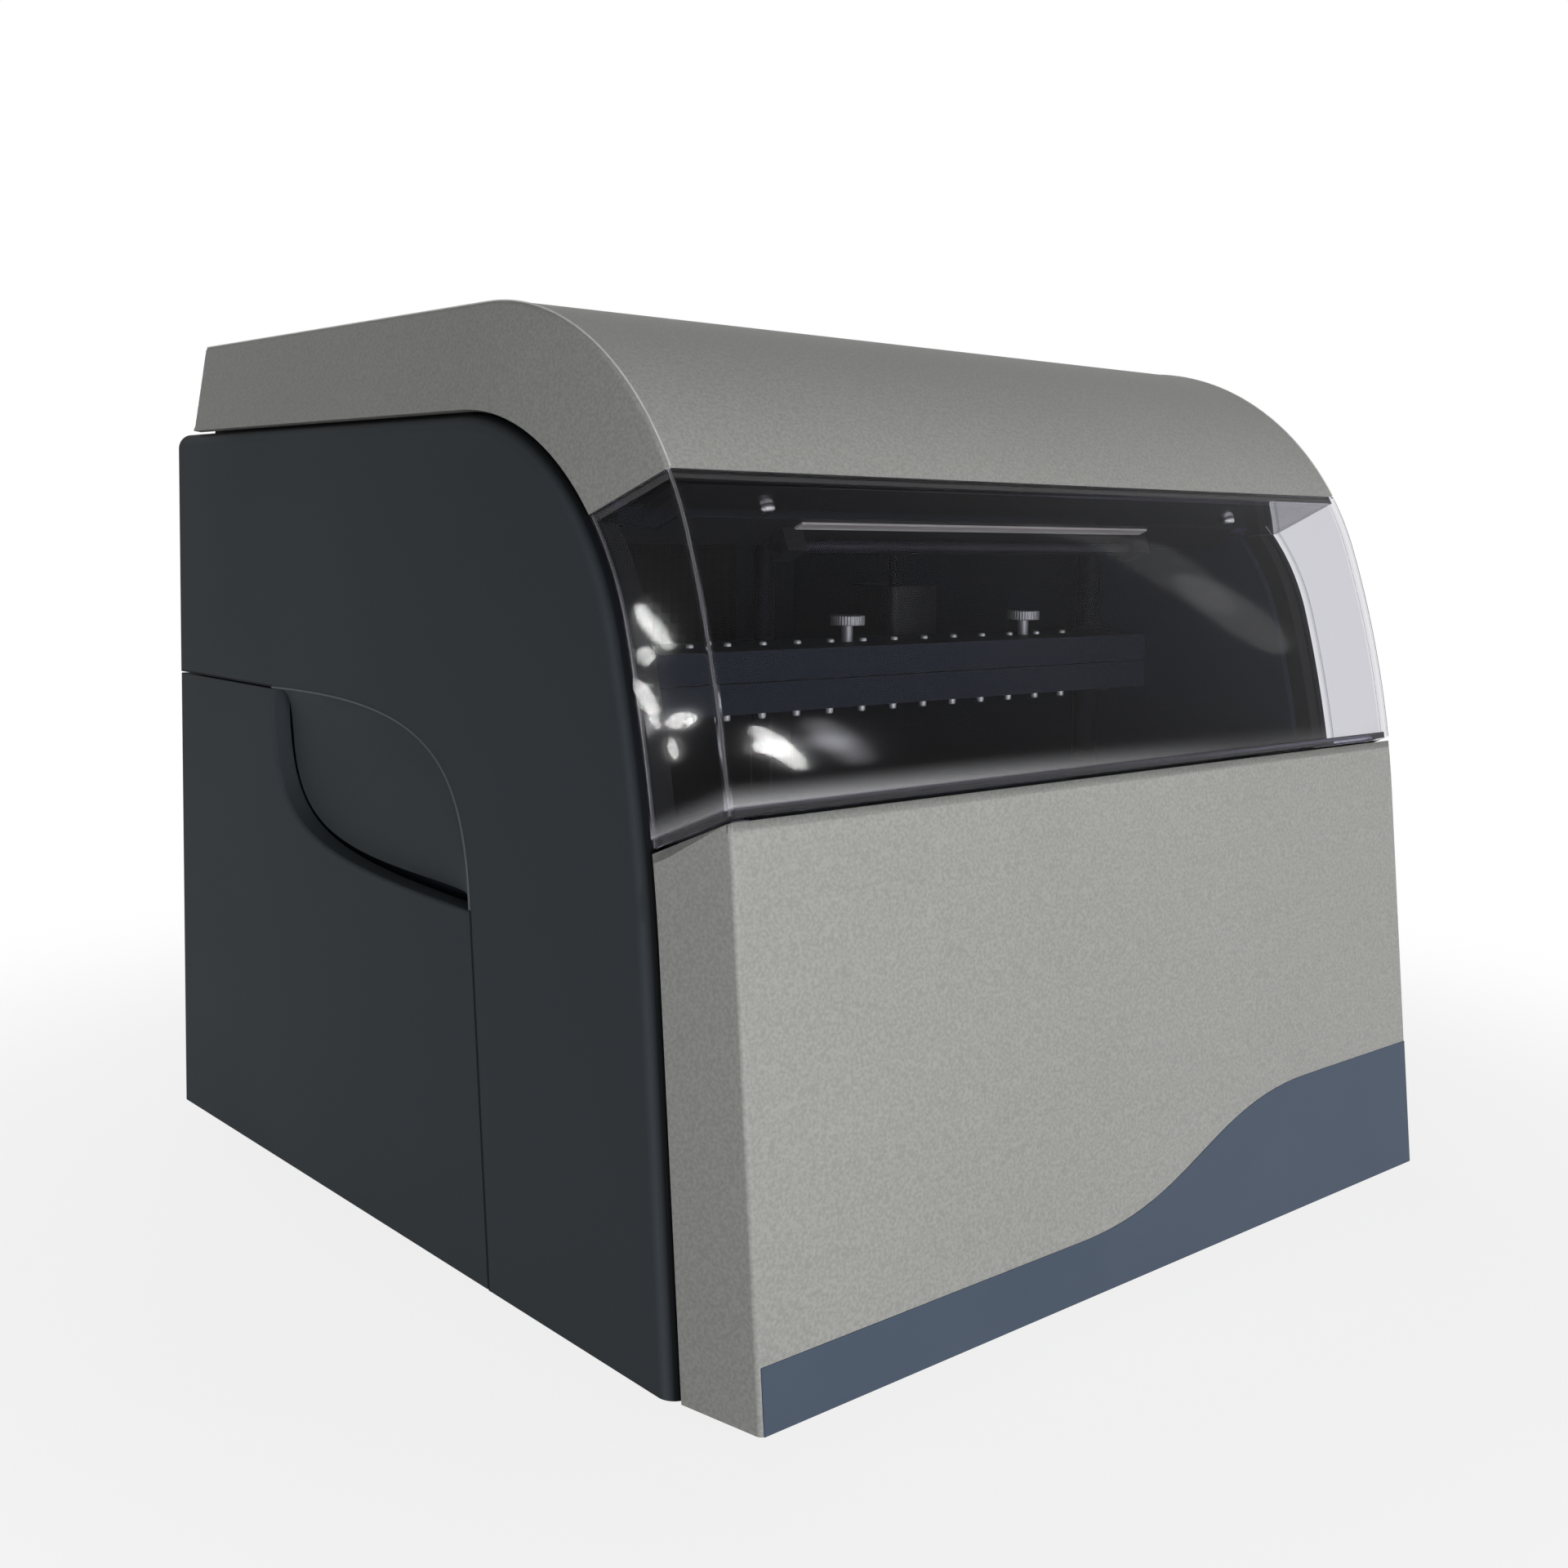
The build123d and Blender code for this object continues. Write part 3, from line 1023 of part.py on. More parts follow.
def make_rails():
    """Two profiled rails for the platform's carriages."""
    span = (RAIL_FRONT, RAIL_FRONT + RAIL_LENGTH)
    groove_z = tuple(DECK_Z + rise for rise in RAIL_GROOVE)
    rails = []
    for x in (-RAIL_X, RAIL_X):
        rail = block(around(x, RAIL_WIDTH / 2), span, (DECK_Z, DECK_Z + RAIL_HEIGHT))
        core = block(around(x, RAIL_WIDTH / 3), (0, CASE_DEPTH), groove_z)
        rails.append(rail - (block(around(x, RAIL_WIDTH), (0, CASE_DEPTH), groove_z) - core))
    return group(*rails)


def make_carriages():
    """Four carriage blocks that straddle the rails and carry the platform."""
    low = DECK_Z + CARRIAGE_GAP
    reach = PLATFORM_LENGTH / 2 - CARRIAGE_LENGTH / 2 - CARRIAGE_INSET
    carriages = []
    for x in (-RAIL_X, RAIL_X):
        for y in (PLATFORM_MIDDLE - reach, PLATFORM_MIDDLE + reach):
            body = block(around(x, CARRIAGE_WIDTH / 2), around(y, CARRIAGE_LENGTH / 2), (low, PLATFORM_Z))
            slot_z = (low - 1, DECK_Z + RAIL_HEIGHT + RUNNING_GAP)
            carriages.append(body - block(around(x, RAIL_WIDTH / 2 + RUNNING_GAP), (0, CASE_DEPTH), slot_z))
    return group(*carriages)


def make_pulley(y, shaft_low):
    """Flanged belt pulley on its own spindle."""
    low, high = around(BELT_Z, BELT_WIDTH / 2 + BELT_SIDE)
    wheel = rod("z", (0, y), PULLEY_RADIUS, (low, high))
    for flange_low in (low - PULLEY_FLANGE_WALL, high):
        wheel = wheel + rod("z", (0, y), PULLEY_FLANGE, (flange_low, flange_low + PULLEY_FLANGE_WALL))
    return wheel + rod("z", (0, y), SPINDLE_RADIUS, (shaft_low, high + SPINDLE_TOP))


def make_belt():
    """Timing belt as a closed loop round the two pulleys."""
    span = PULLEY_BACK_Y - PULLEY_FRONT_Y
    inner = PULLEY_RADIUS + BELT_SLACK
    rings = [SlotOverall(span + 2 * radius, 2 * radius) for radius in (inner + BELT_THICKNESS, inner)]
    middle = (PULLEY_BACK_Y + PULLEY_FRONT_Y) / 2
    return Pos(0, middle, BELT_Z - BELT_WIDTH / 2) * Rot(0, 0, 90) * extrude(rings[0] - rings[1], BELT_WIDTH)


def make_belt_clamp():
    """Block under the platform that grips one run of the belt."""
    run = PULLEY_RADIUS + BELT_SLACK + BELT_THICKNESS / 2
    low = BELT_Z - BELT_WIDTH / 2 - CLAMP_LIP
    clamp_y = around(PLATFORM_MIDDLE, CLAMP_LENGTH / 2)
    body = block((run - CLAMP_IN, run + CLAMP_OUT), clamp_y, (low, PLATFORM_Z))
    slot_z = (low - 1, BELT_Z + BELT_WIDTH / 2 + BELT_SIDE)
    return body - block(around(run, BELT_THICKNESS / 2 + BELT_SIDE), (0, CASE_DEPTH), slot_z)


# ---- rear fittings -------------------------------------------------------------------------------------
def inlet_block(grow=0.0):
    return block(around(INLET_X, INLET_WIDTH / 2 + grow), (CASE_DEPTH - INLET_DEPTH, CASE_DEPTH),
                 around(INLET_Z, INLET_HEIGHT / 2 + grow))


def switch_block(grow=0.0):
    margin = SWITCH_WALL + grow
    return block(around(SWITCH_X, ROCKER_WIDTH / 2 + margin), (CASE_DEPTH - SWITCH_DEPTH, CASE_DEPTH),
                 around(INLET_Z, ROCKER_HEIGHT / 2 + margin))


def port_block(i, grow=0.0):
    x = PORT_X + PORT_PITCH * (i - (PORT_COUNT - 1) / 2)
    return block(around(x, PORT_WIDTH / 2 + grow), (CASE_DEPTH - PORT_DEPTH, CASE_DEPTH + PORT_STAND),
                 around(PORT_Z, PORT_HEIGHT / 2 + grow))


def flange(x, half_width, half_height):
    return block(around(x, half_width), (CASE_DEPTH, CASE_DEPTH + REAR_STAND), around(INLET_Z, half_height))


def make_inlet():
    """Mains inlet: flanged shell with three contacts in its socket."""
    inlet = inlet_block() + flange(INLET_X, INLET_WIDTH / 2 + INLET_FLANGE, INLET_HEIGHT / 2 + INLET_FLANGE)
    mouth = (CASE_DEPTH - SOCKET_DEPTH, CASE_DEPTH + REAR_STAND + 1)
    inlet = inlet - block(around(INLET_X, SOCKET_WIDTH / 2), mouth, around(INLET_Z, SOCKET_HEIGHT / 2))
    contact_y = (CASE_DEPTH - SOCKET_DEPTH, CASE_DEPTH - CONTACT_BACK)
    for dx, dz in CONTACT_PLACES:
        contact_z = around(INLET_Z + dz, CONTACT_HEIGHT / 2)
        inlet = inlet + block(around(INLET_X + dx, CONTACT_WIDTH / 2), contact_y, contact_z)
    return inlet


def rocker_pin(radius, end):
    return rod("x", (CASE_DEPTH - ROCKER_IN, INLET_Z), radius, around(SWITCH_X, ROCKER_WIDTH / 2 + end))


def make_switch_bezel():
    """Switch frame with room for the rocker and a bore for its pin."""
    side = SWITCH_WALL + REAR_STAND
    bezel = switch_block() + flange(SWITCH_X, ROCKER_WIDTH / 2 + side, ROCKER_HEIGHT / 2 + side)
    room_y = (CASE_DEPTH - ROCKER_ROOM_DEPTH, CASE_DEPTH + REAR_STAND + 1)
    room = block(around(SWITCH_X, ROCKER_WIDTH / 2 + ROCKER_ROOM / 2), room_y,
                 around(INLET_Z, ROCKER_HEIGHT / 2 + ROCKER_ROOM))
    return cut(bezel, room, rocker_pin(ROCKER_PIN + PIN_CLEARANCE, ROCKER_PIN_END + RUNNING_GAP))


def make_rocker():
    """Switch rocker: a shallow V on its own pin."""
    half = ROCKER_HEIGHT / 2 - ROCKER_ROOM
    y, z = CASE_DEPTH - ROCKER_IN, INLET_Z
    corners = [
        (y - ROCKER_ROOT, z - ROCKER_ROOT), (y + ROCKER_SHOULDER, z - half), (y + ROCKER_TIP, z - half),
        (y + ROCKER_VALLEY, z), (y + ROCKER_TIP, z + half), (y + ROCKER_SHOULDER, z + half),
        (y - ROCKER_ROOT, z + ROCKER_ROOT),
    ]
    face = make_face(Polyline(*[(0, *corner) for corner in corners], close=True))
    return slab(face, *around(SWITCH_X, ROCKER_WIDTH / 2)) + rocker_pin(ROCKER_PIN, ROCKER_PIN_END)


def make_ports():
    """Row of data ports: thin shells, each with a tongue."""
    ports = []
    for i in range(PORT_COUNT):
        box = port_block(i).bounding_box()
        x, z = (box.min.X, box.max.X), (box.min.Z, box.max.Z)
        hole = block((x[0] + PORT_WALL, x[1] - PORT_WALL), (box.min.Y + PORT_BACK, box.max.Y + 1),
                     (z[0] + PORT_WALL, z[1] - PORT_WALL))
        side, low, high, short = PORT_TONGUE
        tongue = block((x[0] + PORT_WALL + side, x[1] - PORT_WALL - side), (box.min.Y, box.max.Y - short),
                       (PORT_Z + low, PORT_Z + high))
        ports.append(port_block(i) - hole + tongue)
    return group(*ports)


def make_fan_frame():
    """Square fan frame with a hub on four struts."""
    y = (BACK_PANEL_Y - FAN_DEPTH, BACK_PANEL_Y)
    frame = block(around(FAN_X, FAN_SIDE / 2), y, around(FAN_Z, FAN_SIDE / 2))
    frame = frame - rod("y", (FAN_X, FAN_Z), FAN_BORE, (y[0] - 1, y[1] + 1))
    frame = frame + rod("y", (FAN_X, FAN_Z), FAN_HUB, (y[0], y[0] + FAN_STRUT))
    for angle in range(45, 360, 90):
        strut = Pos((FAN_BORE + 1) / 2, 0, 0) * Box(FAN_BORE + 1, FAN_STRUT, FAN_STRUT)
        frame = frame + Pos(FAN_X, y[0] + FAN_STRUT / 2, FAN_Z) * Rot(0, angle, 0) * strut
    return frame - rod("y", (FAN_X, FAN_Z), FAN_SHAFT + PIN_CLEARANCE, (y[0] - 1, y[0] + FAN_STRUT + 1))


def make_fan_rotor():
    """Fan hub with its blades and a short shaft."""
    y = (BACK_PANEL_Y - FAN_DEPTH + FAN_STRUT + RUNNING_GAP, BACK_PANEL_Y - FAN_BACK_GAP)
    shaft = rod("y", (FAN_X, FAN_Z), FAN_SHAFT, (y[0] - FAN_STRUT - RUNNING_GAP, y[0]))
    rotor = rod("y", (FAN_X, FAN_Z), FAN_HUB, y) + shaft
    length = FAN_BORE - BLADE_TIP_GAP - FAN_HUB + 1
    blade = Rot(BLADE_PITCH, 0, 0) * Box(length, BLADE_WALL, BLADE_WIDTH)
    blade = Pos(FAN_HUB - 1 + length / 2, 0, 0) * blade
    for i in range(BLADE_COUNT):
        rotor = rotor + Pos(FAN_X, sum(y) / 2, FAN_Z) * Rot(0, i * 360 / BLADE_COUNT, 0) * blade
    return rotor


# ---- electronics ---------------------------------------------------------------------------------------
def make_power_supply():
    """Power supply can with slots in its lid."""
    y_back = BACK_PANEL_Y - SUPPLY_BACK_GAP
    top = BASE_TOP + SUPPLY_HEIGHT
    can = block(SUPPLY_X, (y_back - SUPPLY_LENGTH, y_back), (BASE_TOP, top))
    width, pitch, depth, margin = SUPPLY_SLOT
    slot_y = (y_back - SUPPLY_LENGTH + margin, y_back - margin)
    for i in range(SUPPLY_SLOTS):
        x = SUPPLY_X[0] + pitch * (i + 0.5)
        can = can - block((x, x + width), slot_y, (top - depth, top + 1))
    return can


def make_boards():
    """Control board on pillars with a few tall parts, and the small board that carries the ports."""
    low = BASE_TOP + BOARD_RISE
    y = (BACK_PANEL_Y - BOARD_BACK_GAP - BOARD_LENGTH, BACK_PANEL_Y - BOARD_BACK_GAP)
    board = block(BOARD_X, y, (low, low + BOARD_THICKNESS))
    for x in (BOARD_X[0] + PILLAR_INSET, BOARD_X[1] - PILLAR_INSET):
        for pillar_y in (y[0] + PILLAR_INSET, y[1] - PILLAR_INSET):
            board = board + rod("z", (x, pillar_y), PILLAR_RADIUS, (BASE_TOP, low))
    for dx, dy, width, depth, height in CHIPS:
        chip_z = (low + BOARD_THICKNESS, low + BOARD_THICKNESS + height)
        board = board + block(around(BOARD_X[0] + dx, width / 2), around(y[0] + dy, depth / 2), chip_z)
    port_floor = PORT_Z - PORT_HEIGHT / 2
    reach = (PORT_COUNT - 1) / 2 * PORT_PITCH + PORT_WIDTH / 2
    port_y = (CASE_DEPTH - PORT_BACK - PORT_BOARD_DEPTH, CASE_DEPTH - PORT_BACK)
    port_board = block(around(PORT_X, reach), port_y, (port_floor - BOARD_THICKNESS, port_floor))
    return group(board, port_board)


# ---- everything ----------------------------------------------------------------------------------------
def write(name, shape):
    """Moves a piece to the part's frame and writes it as one STEP file."""
    placed = Pos(0, -(CASE_DEPTH + REAR_STAND) / 2, FOOT_HEIGHT) * shape
    export_step(group(placed), os.path.join("parts", name + ".step"))


def write_door(outer, shell):
    write("door_hood", make_hood(outer, shell))
    write("door_window", make_window(outer, shell))
    write("door_crossbar", make_crossbar())
    write("door_liner", make_liner())
    write("door_screws", make_door_screws())
    write("lamp_tube", make_lamp())
    sides = (-HINGE_X, HINGE_X)
    write("hinge_leaves_moving", group(*[make_moving_leaf(x) for x in sides]))
    write("hinge_leaves_fixed", group(*[make_fixed_leaf(x) for x in sides]))
    write("hinge_pins", group(*[make_hinge_pin(x) for x in sides]))


def write_casing(outer, shell):
    sides = {
        "side_panel_upper": make_upper_panel(),
        "side_panel_lower": make_lower_panel(),
        "inner_wall": make_inner_wall(),
        "side_seal": make_side_seal(),
    }
    for name, piece in sides.items():
        write(name + "_right", piece)
        write(name + "_left", mirrored(piece))
    write("front_panel", make_front_panel(outer, shell))
    write("front_band", make_front_band())
    write("sill_seal", make_sill_seal())
    write("base_plate", make_base())
    write("rubber_feet", make_feet())
    write("back_panel", make_back_panel())
    write("back_screws", make_back_screws())
    write("deck_plate", make_deck())
    write("cross_beams", make_cross_beams())
    write("guide_rods", make_guide_rods())


def write_drives():
    write("plunger_bar", make_plunger_bar())
    write("plunger_collars", make_collars())
    plunger_flange = (PLUNGER_BAR_Z - BUSH_STAND, PLUNGER_BAR_Z)
    magnet_flange = (MAGNET_BAR_TOP, MAGNET_BAR_TOP + BUSH_STAND)
    write("plunger_bushes", make_bushes(PLUNGER_BAR_Z, PLUNGER_BAR_HEIGHT, plunger_flange))
    write("magnet_bar", make_magnet_bar())
    write("magnet_rods", make_magnet_rods())
    write("magnet_bushes", make_bushes(MAGNET_BAR_Z, MAGNET_BAR_HEIGHT, magnet_flange))
    for name, x in zip(("left", "middle", "right"), THUMB_XS):
        write("thumb_screw_" + name, make_thumb_screw(x))
    running = JOURNAL_RADIUS + PIN_CLEARANCE
    write("drive_motor", make_motor(0, SCREW_Y, MOTOR_SIDE, (BEAM_TOP, BEAM_TOP + MOTOR_HEIGHT), running))
    write("drive_screw", make_drive_screw())
    write("drive_nut", make_drive_nut())
    write("lift_screw", make_lift_screw())
    lift_z = (LIFT_MOTOR_Z, LIFT_MOTOR_Z + LIFT_MOTOR_HEIGHT)
    lift_bore = LIFT_SCREW_RADIUS + LIFT_SCREW_CLEARANCE
    write("lift_motor", make_motor(LIFT_SCREW_X, SCREW_Y, LIFT_MOTOR_SIDE, lift_z, lift_bore))


def write_platform():
    write("platform", make_platform())
    write("heater_block", make_heater())
    write("tray_clip_left", make_clip(-1))
    write("tray_clip_right", make_clip(1))
    write("platform_rails", make_rails())
    write("platform_carriages", make_carriages())
    motor_top = DECK_Z - SHEET
    write("belt_pulley_front", make_pulley(PULLEY_FRONT_Y, DECK_Z + RUNNING_GAP))
    write("belt_pulley_back", make_pulley(PULLEY_BACK_Y, motor_top - JOURNAL_SHORT))
    write("drive_belt", make_belt())
    write("belt_clamp", make_belt_clamp())
    motor_z = (motor_top - MOTOR_HEIGHT, motor_top)
    write("platform_motor", make_motor(0, PULLEY_BACK_Y, MOTOR_SIDE, motor_z, SPINDLE_RADIUS + PIN_CLEARANCE))


def write_electrics():
    write("power_inlet", make_inlet())
    write("switch_bezel", make_switch_bezel())
    write("switch_rocker", make_rocker())
    write("data_ports", make_ports())
    write("fan_frame", make_fan_frame())
    write("fan_rotor", make_fan_rotor())
    write("power_supply", make_power_supply())
    write("circuit_boards", make_boards())


def main():
    os.makedirs("parts", exist_ok=True)
    outer = front_body(0)
    shell = outer - front_body(SHELL_WALL)
    write_door(outer, shell)
    write_casing(outer, shell)
    write_drives()
    write_platform()
    write_electrics()


main()
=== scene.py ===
import json
from math import cos, pi, radians, sin, tan

import bmesh
import bpy
from mathutils import Matrix, Vector


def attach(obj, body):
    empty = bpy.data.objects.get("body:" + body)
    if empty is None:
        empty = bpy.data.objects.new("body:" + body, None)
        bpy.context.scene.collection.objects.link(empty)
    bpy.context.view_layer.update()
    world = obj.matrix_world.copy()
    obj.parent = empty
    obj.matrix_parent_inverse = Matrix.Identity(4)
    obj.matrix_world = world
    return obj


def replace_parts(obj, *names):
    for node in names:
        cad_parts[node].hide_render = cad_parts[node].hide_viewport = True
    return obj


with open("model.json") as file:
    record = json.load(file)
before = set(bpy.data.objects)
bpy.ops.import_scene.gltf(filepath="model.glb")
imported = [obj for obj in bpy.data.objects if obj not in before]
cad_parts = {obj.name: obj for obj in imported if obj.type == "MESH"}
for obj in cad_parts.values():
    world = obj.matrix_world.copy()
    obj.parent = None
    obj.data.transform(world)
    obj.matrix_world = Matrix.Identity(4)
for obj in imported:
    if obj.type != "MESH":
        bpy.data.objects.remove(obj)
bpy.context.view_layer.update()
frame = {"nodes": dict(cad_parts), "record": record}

# Sizes are in metres in the part's frame, with x to the right, y to the back and z up.
# Front shell: its side outlines, one at the crease and one at the rim, lean back and roll over in two arcs.
FRONT_Y = -0.1735
CASE_Z = 0.005
LEAN = radians(5.6)
CREASE_X = 0.1576
CREASE_TOP = 0.3003
CREASE_RADII = (0.366, 0.106)
CREASE_TURN = radians(14.4)
RIM_X = 0.1626
RIM_TOP = 0.2684
RIM_RADII = (0.461, 0.088)
RIM_TURN = radians(10.8)
RIM_SETBACK = 0.0265
GENTLE_STEPS = 14
TIGHT_STEPS = 36
WALL = 0.003
SHELF = 0.010               # how far the ledge under the window reaches in
SHELF_TOP = 0.0012          # its top and foot below the sill
SHELF_FOOT = 0.0037

# Window, on a slope that rises from the sill to the hood's edge.
TILT = radians(23.5)
HEAD = Vector((0, -0.13041, 0.25))
SILL = Vector((0, -0.1576, 0.1613))
SLOPE_UP = Vector((0, sin(TILT), cos(TILT)))
LIP = 0.0025
FOOT_LIP = 0.007
HEAD_LIP = 0.026
PANE_GAP = 0.0001           # between the pane and the hood
FOOT_LIP_GAP = 0.00005
HEAD_LIP_GAP = 0.00015
BEAD = 0.00045              # radius of the window's moulded edge beads
CREASE_BEAD_IN = 1.3        # how many radii each bead lies inside its edge
RIM_BEAD_IN = 1.6
BEAD_END = 0.0004           # how far a bead stops short of the pane's ends

# Hood, with the flap and the notches of its rear wall.
HOOD_BACK = 0.1631
HIGHLIGHT_LINE = 0.0003             # radius of the light line along the hood's crease, which paints its highlight
HIGHLIGHT_LINE_INSET = 0.0009
HINGE_X = 0.110
NOTCH_HALF = 0.0186
NOTCH_TOP = 0.2746
REAR_WALL_LOW = 0.2705
FLAP_END = 0.1505
FLAP_WALL = 0.0014
FLAP_HEIGHT = 0.013
FLAP_Y = HOOD_BACK - WALL - FLAP_WALL / 2
FLAP_Z = 0.2695
FLAP_LEAN = 0.0012
HOOD_SEAL_X = (0.1530, 0.1565)
HOOD_SEAL_Y = (-0.030, 0.1590)
HOOD_SEAL_Z = (0.2650, 0.2695)
HOOD_SEAL_TOP = 0.5         # width of a seal's top over that of its foot
REFLECTOR_BACK = 0.0355
REFLECTOR_WIDTH = 0.004
REFLECTOR_WALL = 0.0009
REFLECTOR_HALF = 0.0837
REFLECTOR_RIM = 0.0008
REFLECTOR_DISH = 0.0004

# Side panels, back panel and fan filter.
SCOOP_X = 0.165
SCOOP_BACK = (0.0905, 0.1757)
SCOOP_FRONT = (-0.0441, 0.1190)
SCOOP_HANDLES = ((0.17, 1.07), (0.03, 0.82))
SCOOP_RIM = 0.0004
SCOOP_STEPS = 40
LINING_Y = 0.1698           # inner face of the back panel
LINING_EDGE = 0.0002
FILTER_X = (0.040, 0.100)
FILTER_Y = 0.1538
FILTER_Z = (0.180, 0.240)
FILTER_WALL = 0.0008
QUILTS = 12
QUILT_SEAM = 0.0009
QUILT_RISE = 0.0006

# Edges, and how finely shapes are rounded and shaded.
CREASE_ROUND = 0.0013
PANE_CREASE_ROUND = 0.0007
EDGE_ROUND = 0.0004
PANE_EDGE_ROUND = 0.0003
SEAL_ROUND = 0.0005
STRIP_ROUND = 0.0002
NEAR = 0.0001               # a corner this near to a line lies on it
MERGE = 0.000002
FLAT_UNDER = radians(0.2)
CREASE_OVER = radians(30)
SMOOTH_UNDER = radians(40)
SHARP_OVER = radians(50)
FACE_WEIGHT = 60

# Looks: where shades begin and end, in metres.
# Painted shade on the inner part of the side panels' edges next to the front shell: its reach across x, and
# where it stops in y and z.
PAINTED_EDGE_SHADE_X = (0.1628, 0.1644)
PAINTED_EDGE_SHADE_Y = (-0.0445, -0.0425)
PAINTED_EDGE_SHADE_Z = (0.185, 0.195)
SEAM_FOOT_Y = -0.0555
# Painted shade along the side panels' seams: the half width where it is full, and where it has gone.
PAINTED_SEAM_SHADE = (0.0004, 0.0009)
SEAM_END = 0.0004
PAINTED_TOP_SHADE_Z = (0.05, 0.25)  # heights between which painted shade darkens the side panels towards their top, to this share
PAINTED_TOP_SHADE = 0.8
HAZE_RISE = 0.0095          # height over which the window's haze clears
HAZE_CLEAR = 0.7            # how much light the haze still lets through
HAZE_X = (-CREASE_X, 0.4 * CREASE_X)
HAZE_RIGHT = 0.15           # what is left of it at the right
LIP_EDGE = (0.9, 1.1)       # where it starts, in heights of the foot lip
PANE_BEND = 1.06            # how strongly the thin pane bends light, its mirror being mostly its coat's
LIP_BEND = 1.45
COAT_BEND = 1.12
COAT_ROUGHNESS = 0.05

# Darkest and lightest tone of each finish that has a function of its own.
SILVER_TONES = (0.350, 0.352, 0.335), (0.452, 0.454, 0.436)
PANEL_TONES = (0.002, 0.002, 0.003), (0.072, 0.084, 0.095)
LINED_TONES = (0.010, 0.012, 0.018), (0.22, 0.225, 0.23)
LAMP_TONES = (0.008, 0.008, 0.012), (0.014, 0.014, 0.020)
FLOOR_TONES = (0.90, 0.90, 0.90), (0.94, 0.94, 0.94)
PANE_TONE = (0.95, 0.95, 0.96, 1)
PANE_SHADOW = (0.93, 0.93, 0.97, 1)
# Share of the side panels' tone that is left in their painted shade.
PAINTED_SHADE_TONE = 0.1
PLASTIC_GLOSS = (-0.04, 0.05)           # how far roughness varies around its middle
METAL_GLOSS = (-0.05, 0.07)
COLOUR_SOCKETS = (6, 7)                 # a colour mix node's two colours

# Noise: features per metre, the band of its values that is used, and the depth of its bumps in metres.
FLAKE = 1000.0
CLOUD = 9.0
PEEL = 2400.0
PANEL_GRAIN = 900.0
SHEET_GRAIN = 1200.0
BLOTCH = 14.0
BRUSH_BLOTCH = 18.0
BRUSH = 260.0
WAVE = 7.0
LAMP_MOTTLE = 40.0
FLOOR_MOTTLE = 3.0
FLAKE_BAND = (0.36, 0.64)
BAND = (0.3, 0.7)
PEEL_DEPTH = 0.00006
GRAIN_DEPTH = 0.00008
BRUSH_DEPTH = 0.00004
WAVE_DEPTH = 0.0003

# Camera, floor and world.
CAMERA_YAW = radians(41.2946)
CAMERA_PITCH = radians(4.5006)
CAMERA_ROLL = radians(0.9182)
CAMERA_PLACE = (-0.436372, -0.498497, 0.234142)
SENSOR_MM = 36.0
LENS_MM = 40.381
LENS_SHIFT = (-0.005865, -0.073525)
FLOOR_SIZE = 12
FLOOR_REACH = (0.2, 0.6)    # distances from the middle between which the floor turns plain white
FLOOR_SHARE = (0.84, 1.0)   # its share of plain white at these
WORLD_TINT = (0.93, 0.96, 1.0, 1)
WORLD_STRENGTH = 0.015
WHITE = (1, 1, 1, 1)


# ---- picking and shaping -------------------------------------------------------------------------------
def nothing_selected():
    if bpy.context.object and bpy.context.object.mode != "OBJECT":
        bpy.ops.object.mode_set(mode="OBJECT")
    bpy.ops.object.select_all(action="DESELECT")


def work_on(piece):
    nothing_selected()
    piece.select_set(True)
    bpy.context.view_layer.objects.active = piece


def edit(piece):
    work_on(piece)
    bpy.ops.object.mode_set(mode="EDIT")
    bpy.ops.mesh.select_all(action="DESELECT")


def close(piece):
    bpy.ops.object.mode_set(mode="OBJECT")
    return piece


def pick(piece, kind, test):
    """Selects only the corners, edges or faces that pass test, which sees their corners' places."""
    bpy.ops.mesh.select_mode(type=kind)
    bpy.ops.mesh.select_all(action="DESELECT")
    mesh = bmesh.from_edit_mesh(piece.data)
    items = {"VERT": mesh.verts, "EDGE": mesh.edges, "FACE": mesh.faces}[kind]
    for item in items:
        corners = [item.co] if kind == "VERT" else [v.co for v in item.verts]
        if test(corners):
            item.select_set(True)
    mesh.select_flush_mode()
    bmesh.update_edit_mesh(piece.data)


def modify(piece, kind, **settings):
    """Adds a modifier with these settings and applies it."""
    work_on(piece)
    modifier = piece.modifiers.new(kind.lower(), kind)
    for name, value in settings.items():
        setattr(modifier, name, value)
    bpy.ops.object.modifier_apply(modifier=modifier.name)
    return piece


def smooth(piece):
    """Shades curved faces evenly while broad flat faces keep their own direction."""
    work_on(piece)
    bpy.ops.object.shade_smooth_by_angle(angle=SMOOTH_UNDER)
    return modify(piece, "WEIGHTED_NORMAL", keep_sharp=True, weight=FACE_WEIGHT)


def soften(piece, width):
    """Rounds the piece's sharp edges."""
    return modify(piece, "BEVEL", width=width, segments=2, limit_method="ANGLE", angle_limit=SHARP_OVER)


def named(piece, name):
    piece.name = piece.data.name = name
    return piece


def duplicate(piece, name):
    work_on(piece)
    bpy.ops.object.duplicate()
    return named(bpy.context.object, name)


def joined(pieces, name):
    """Joins all pieces into the first one."""
    work_on(pieces[0])
    for other in pieces[1:]:
        other.select_set(True)
    bpy.ops.object.join()
    return named(pieces[0], name)


def block(place, size):
    """A box of this size, with its middle at place."""
    nothing_selected()
    bpy.ops.mesh.primitive_cube_add(size=1, location=place)
    box = bpy.context.object
    box.scale = size
    bpy.ops.object.transform_apply(location=True, scale=True)
    return box


def slice_off(piece, point, normal, keep_above, fill):
    """Cuts the piece through point; keep_above keeps the side that normal points to."""
    edit(piece)
    bpy.ops.mesh.select_all(action="SELECT")
    bpy.ops.mesh.bisect(plane_co=point, plane_no=normal, use_fill=fill,
                        clear_inner=keep_above, clear_outer=not keep_above)
    return close(piece)


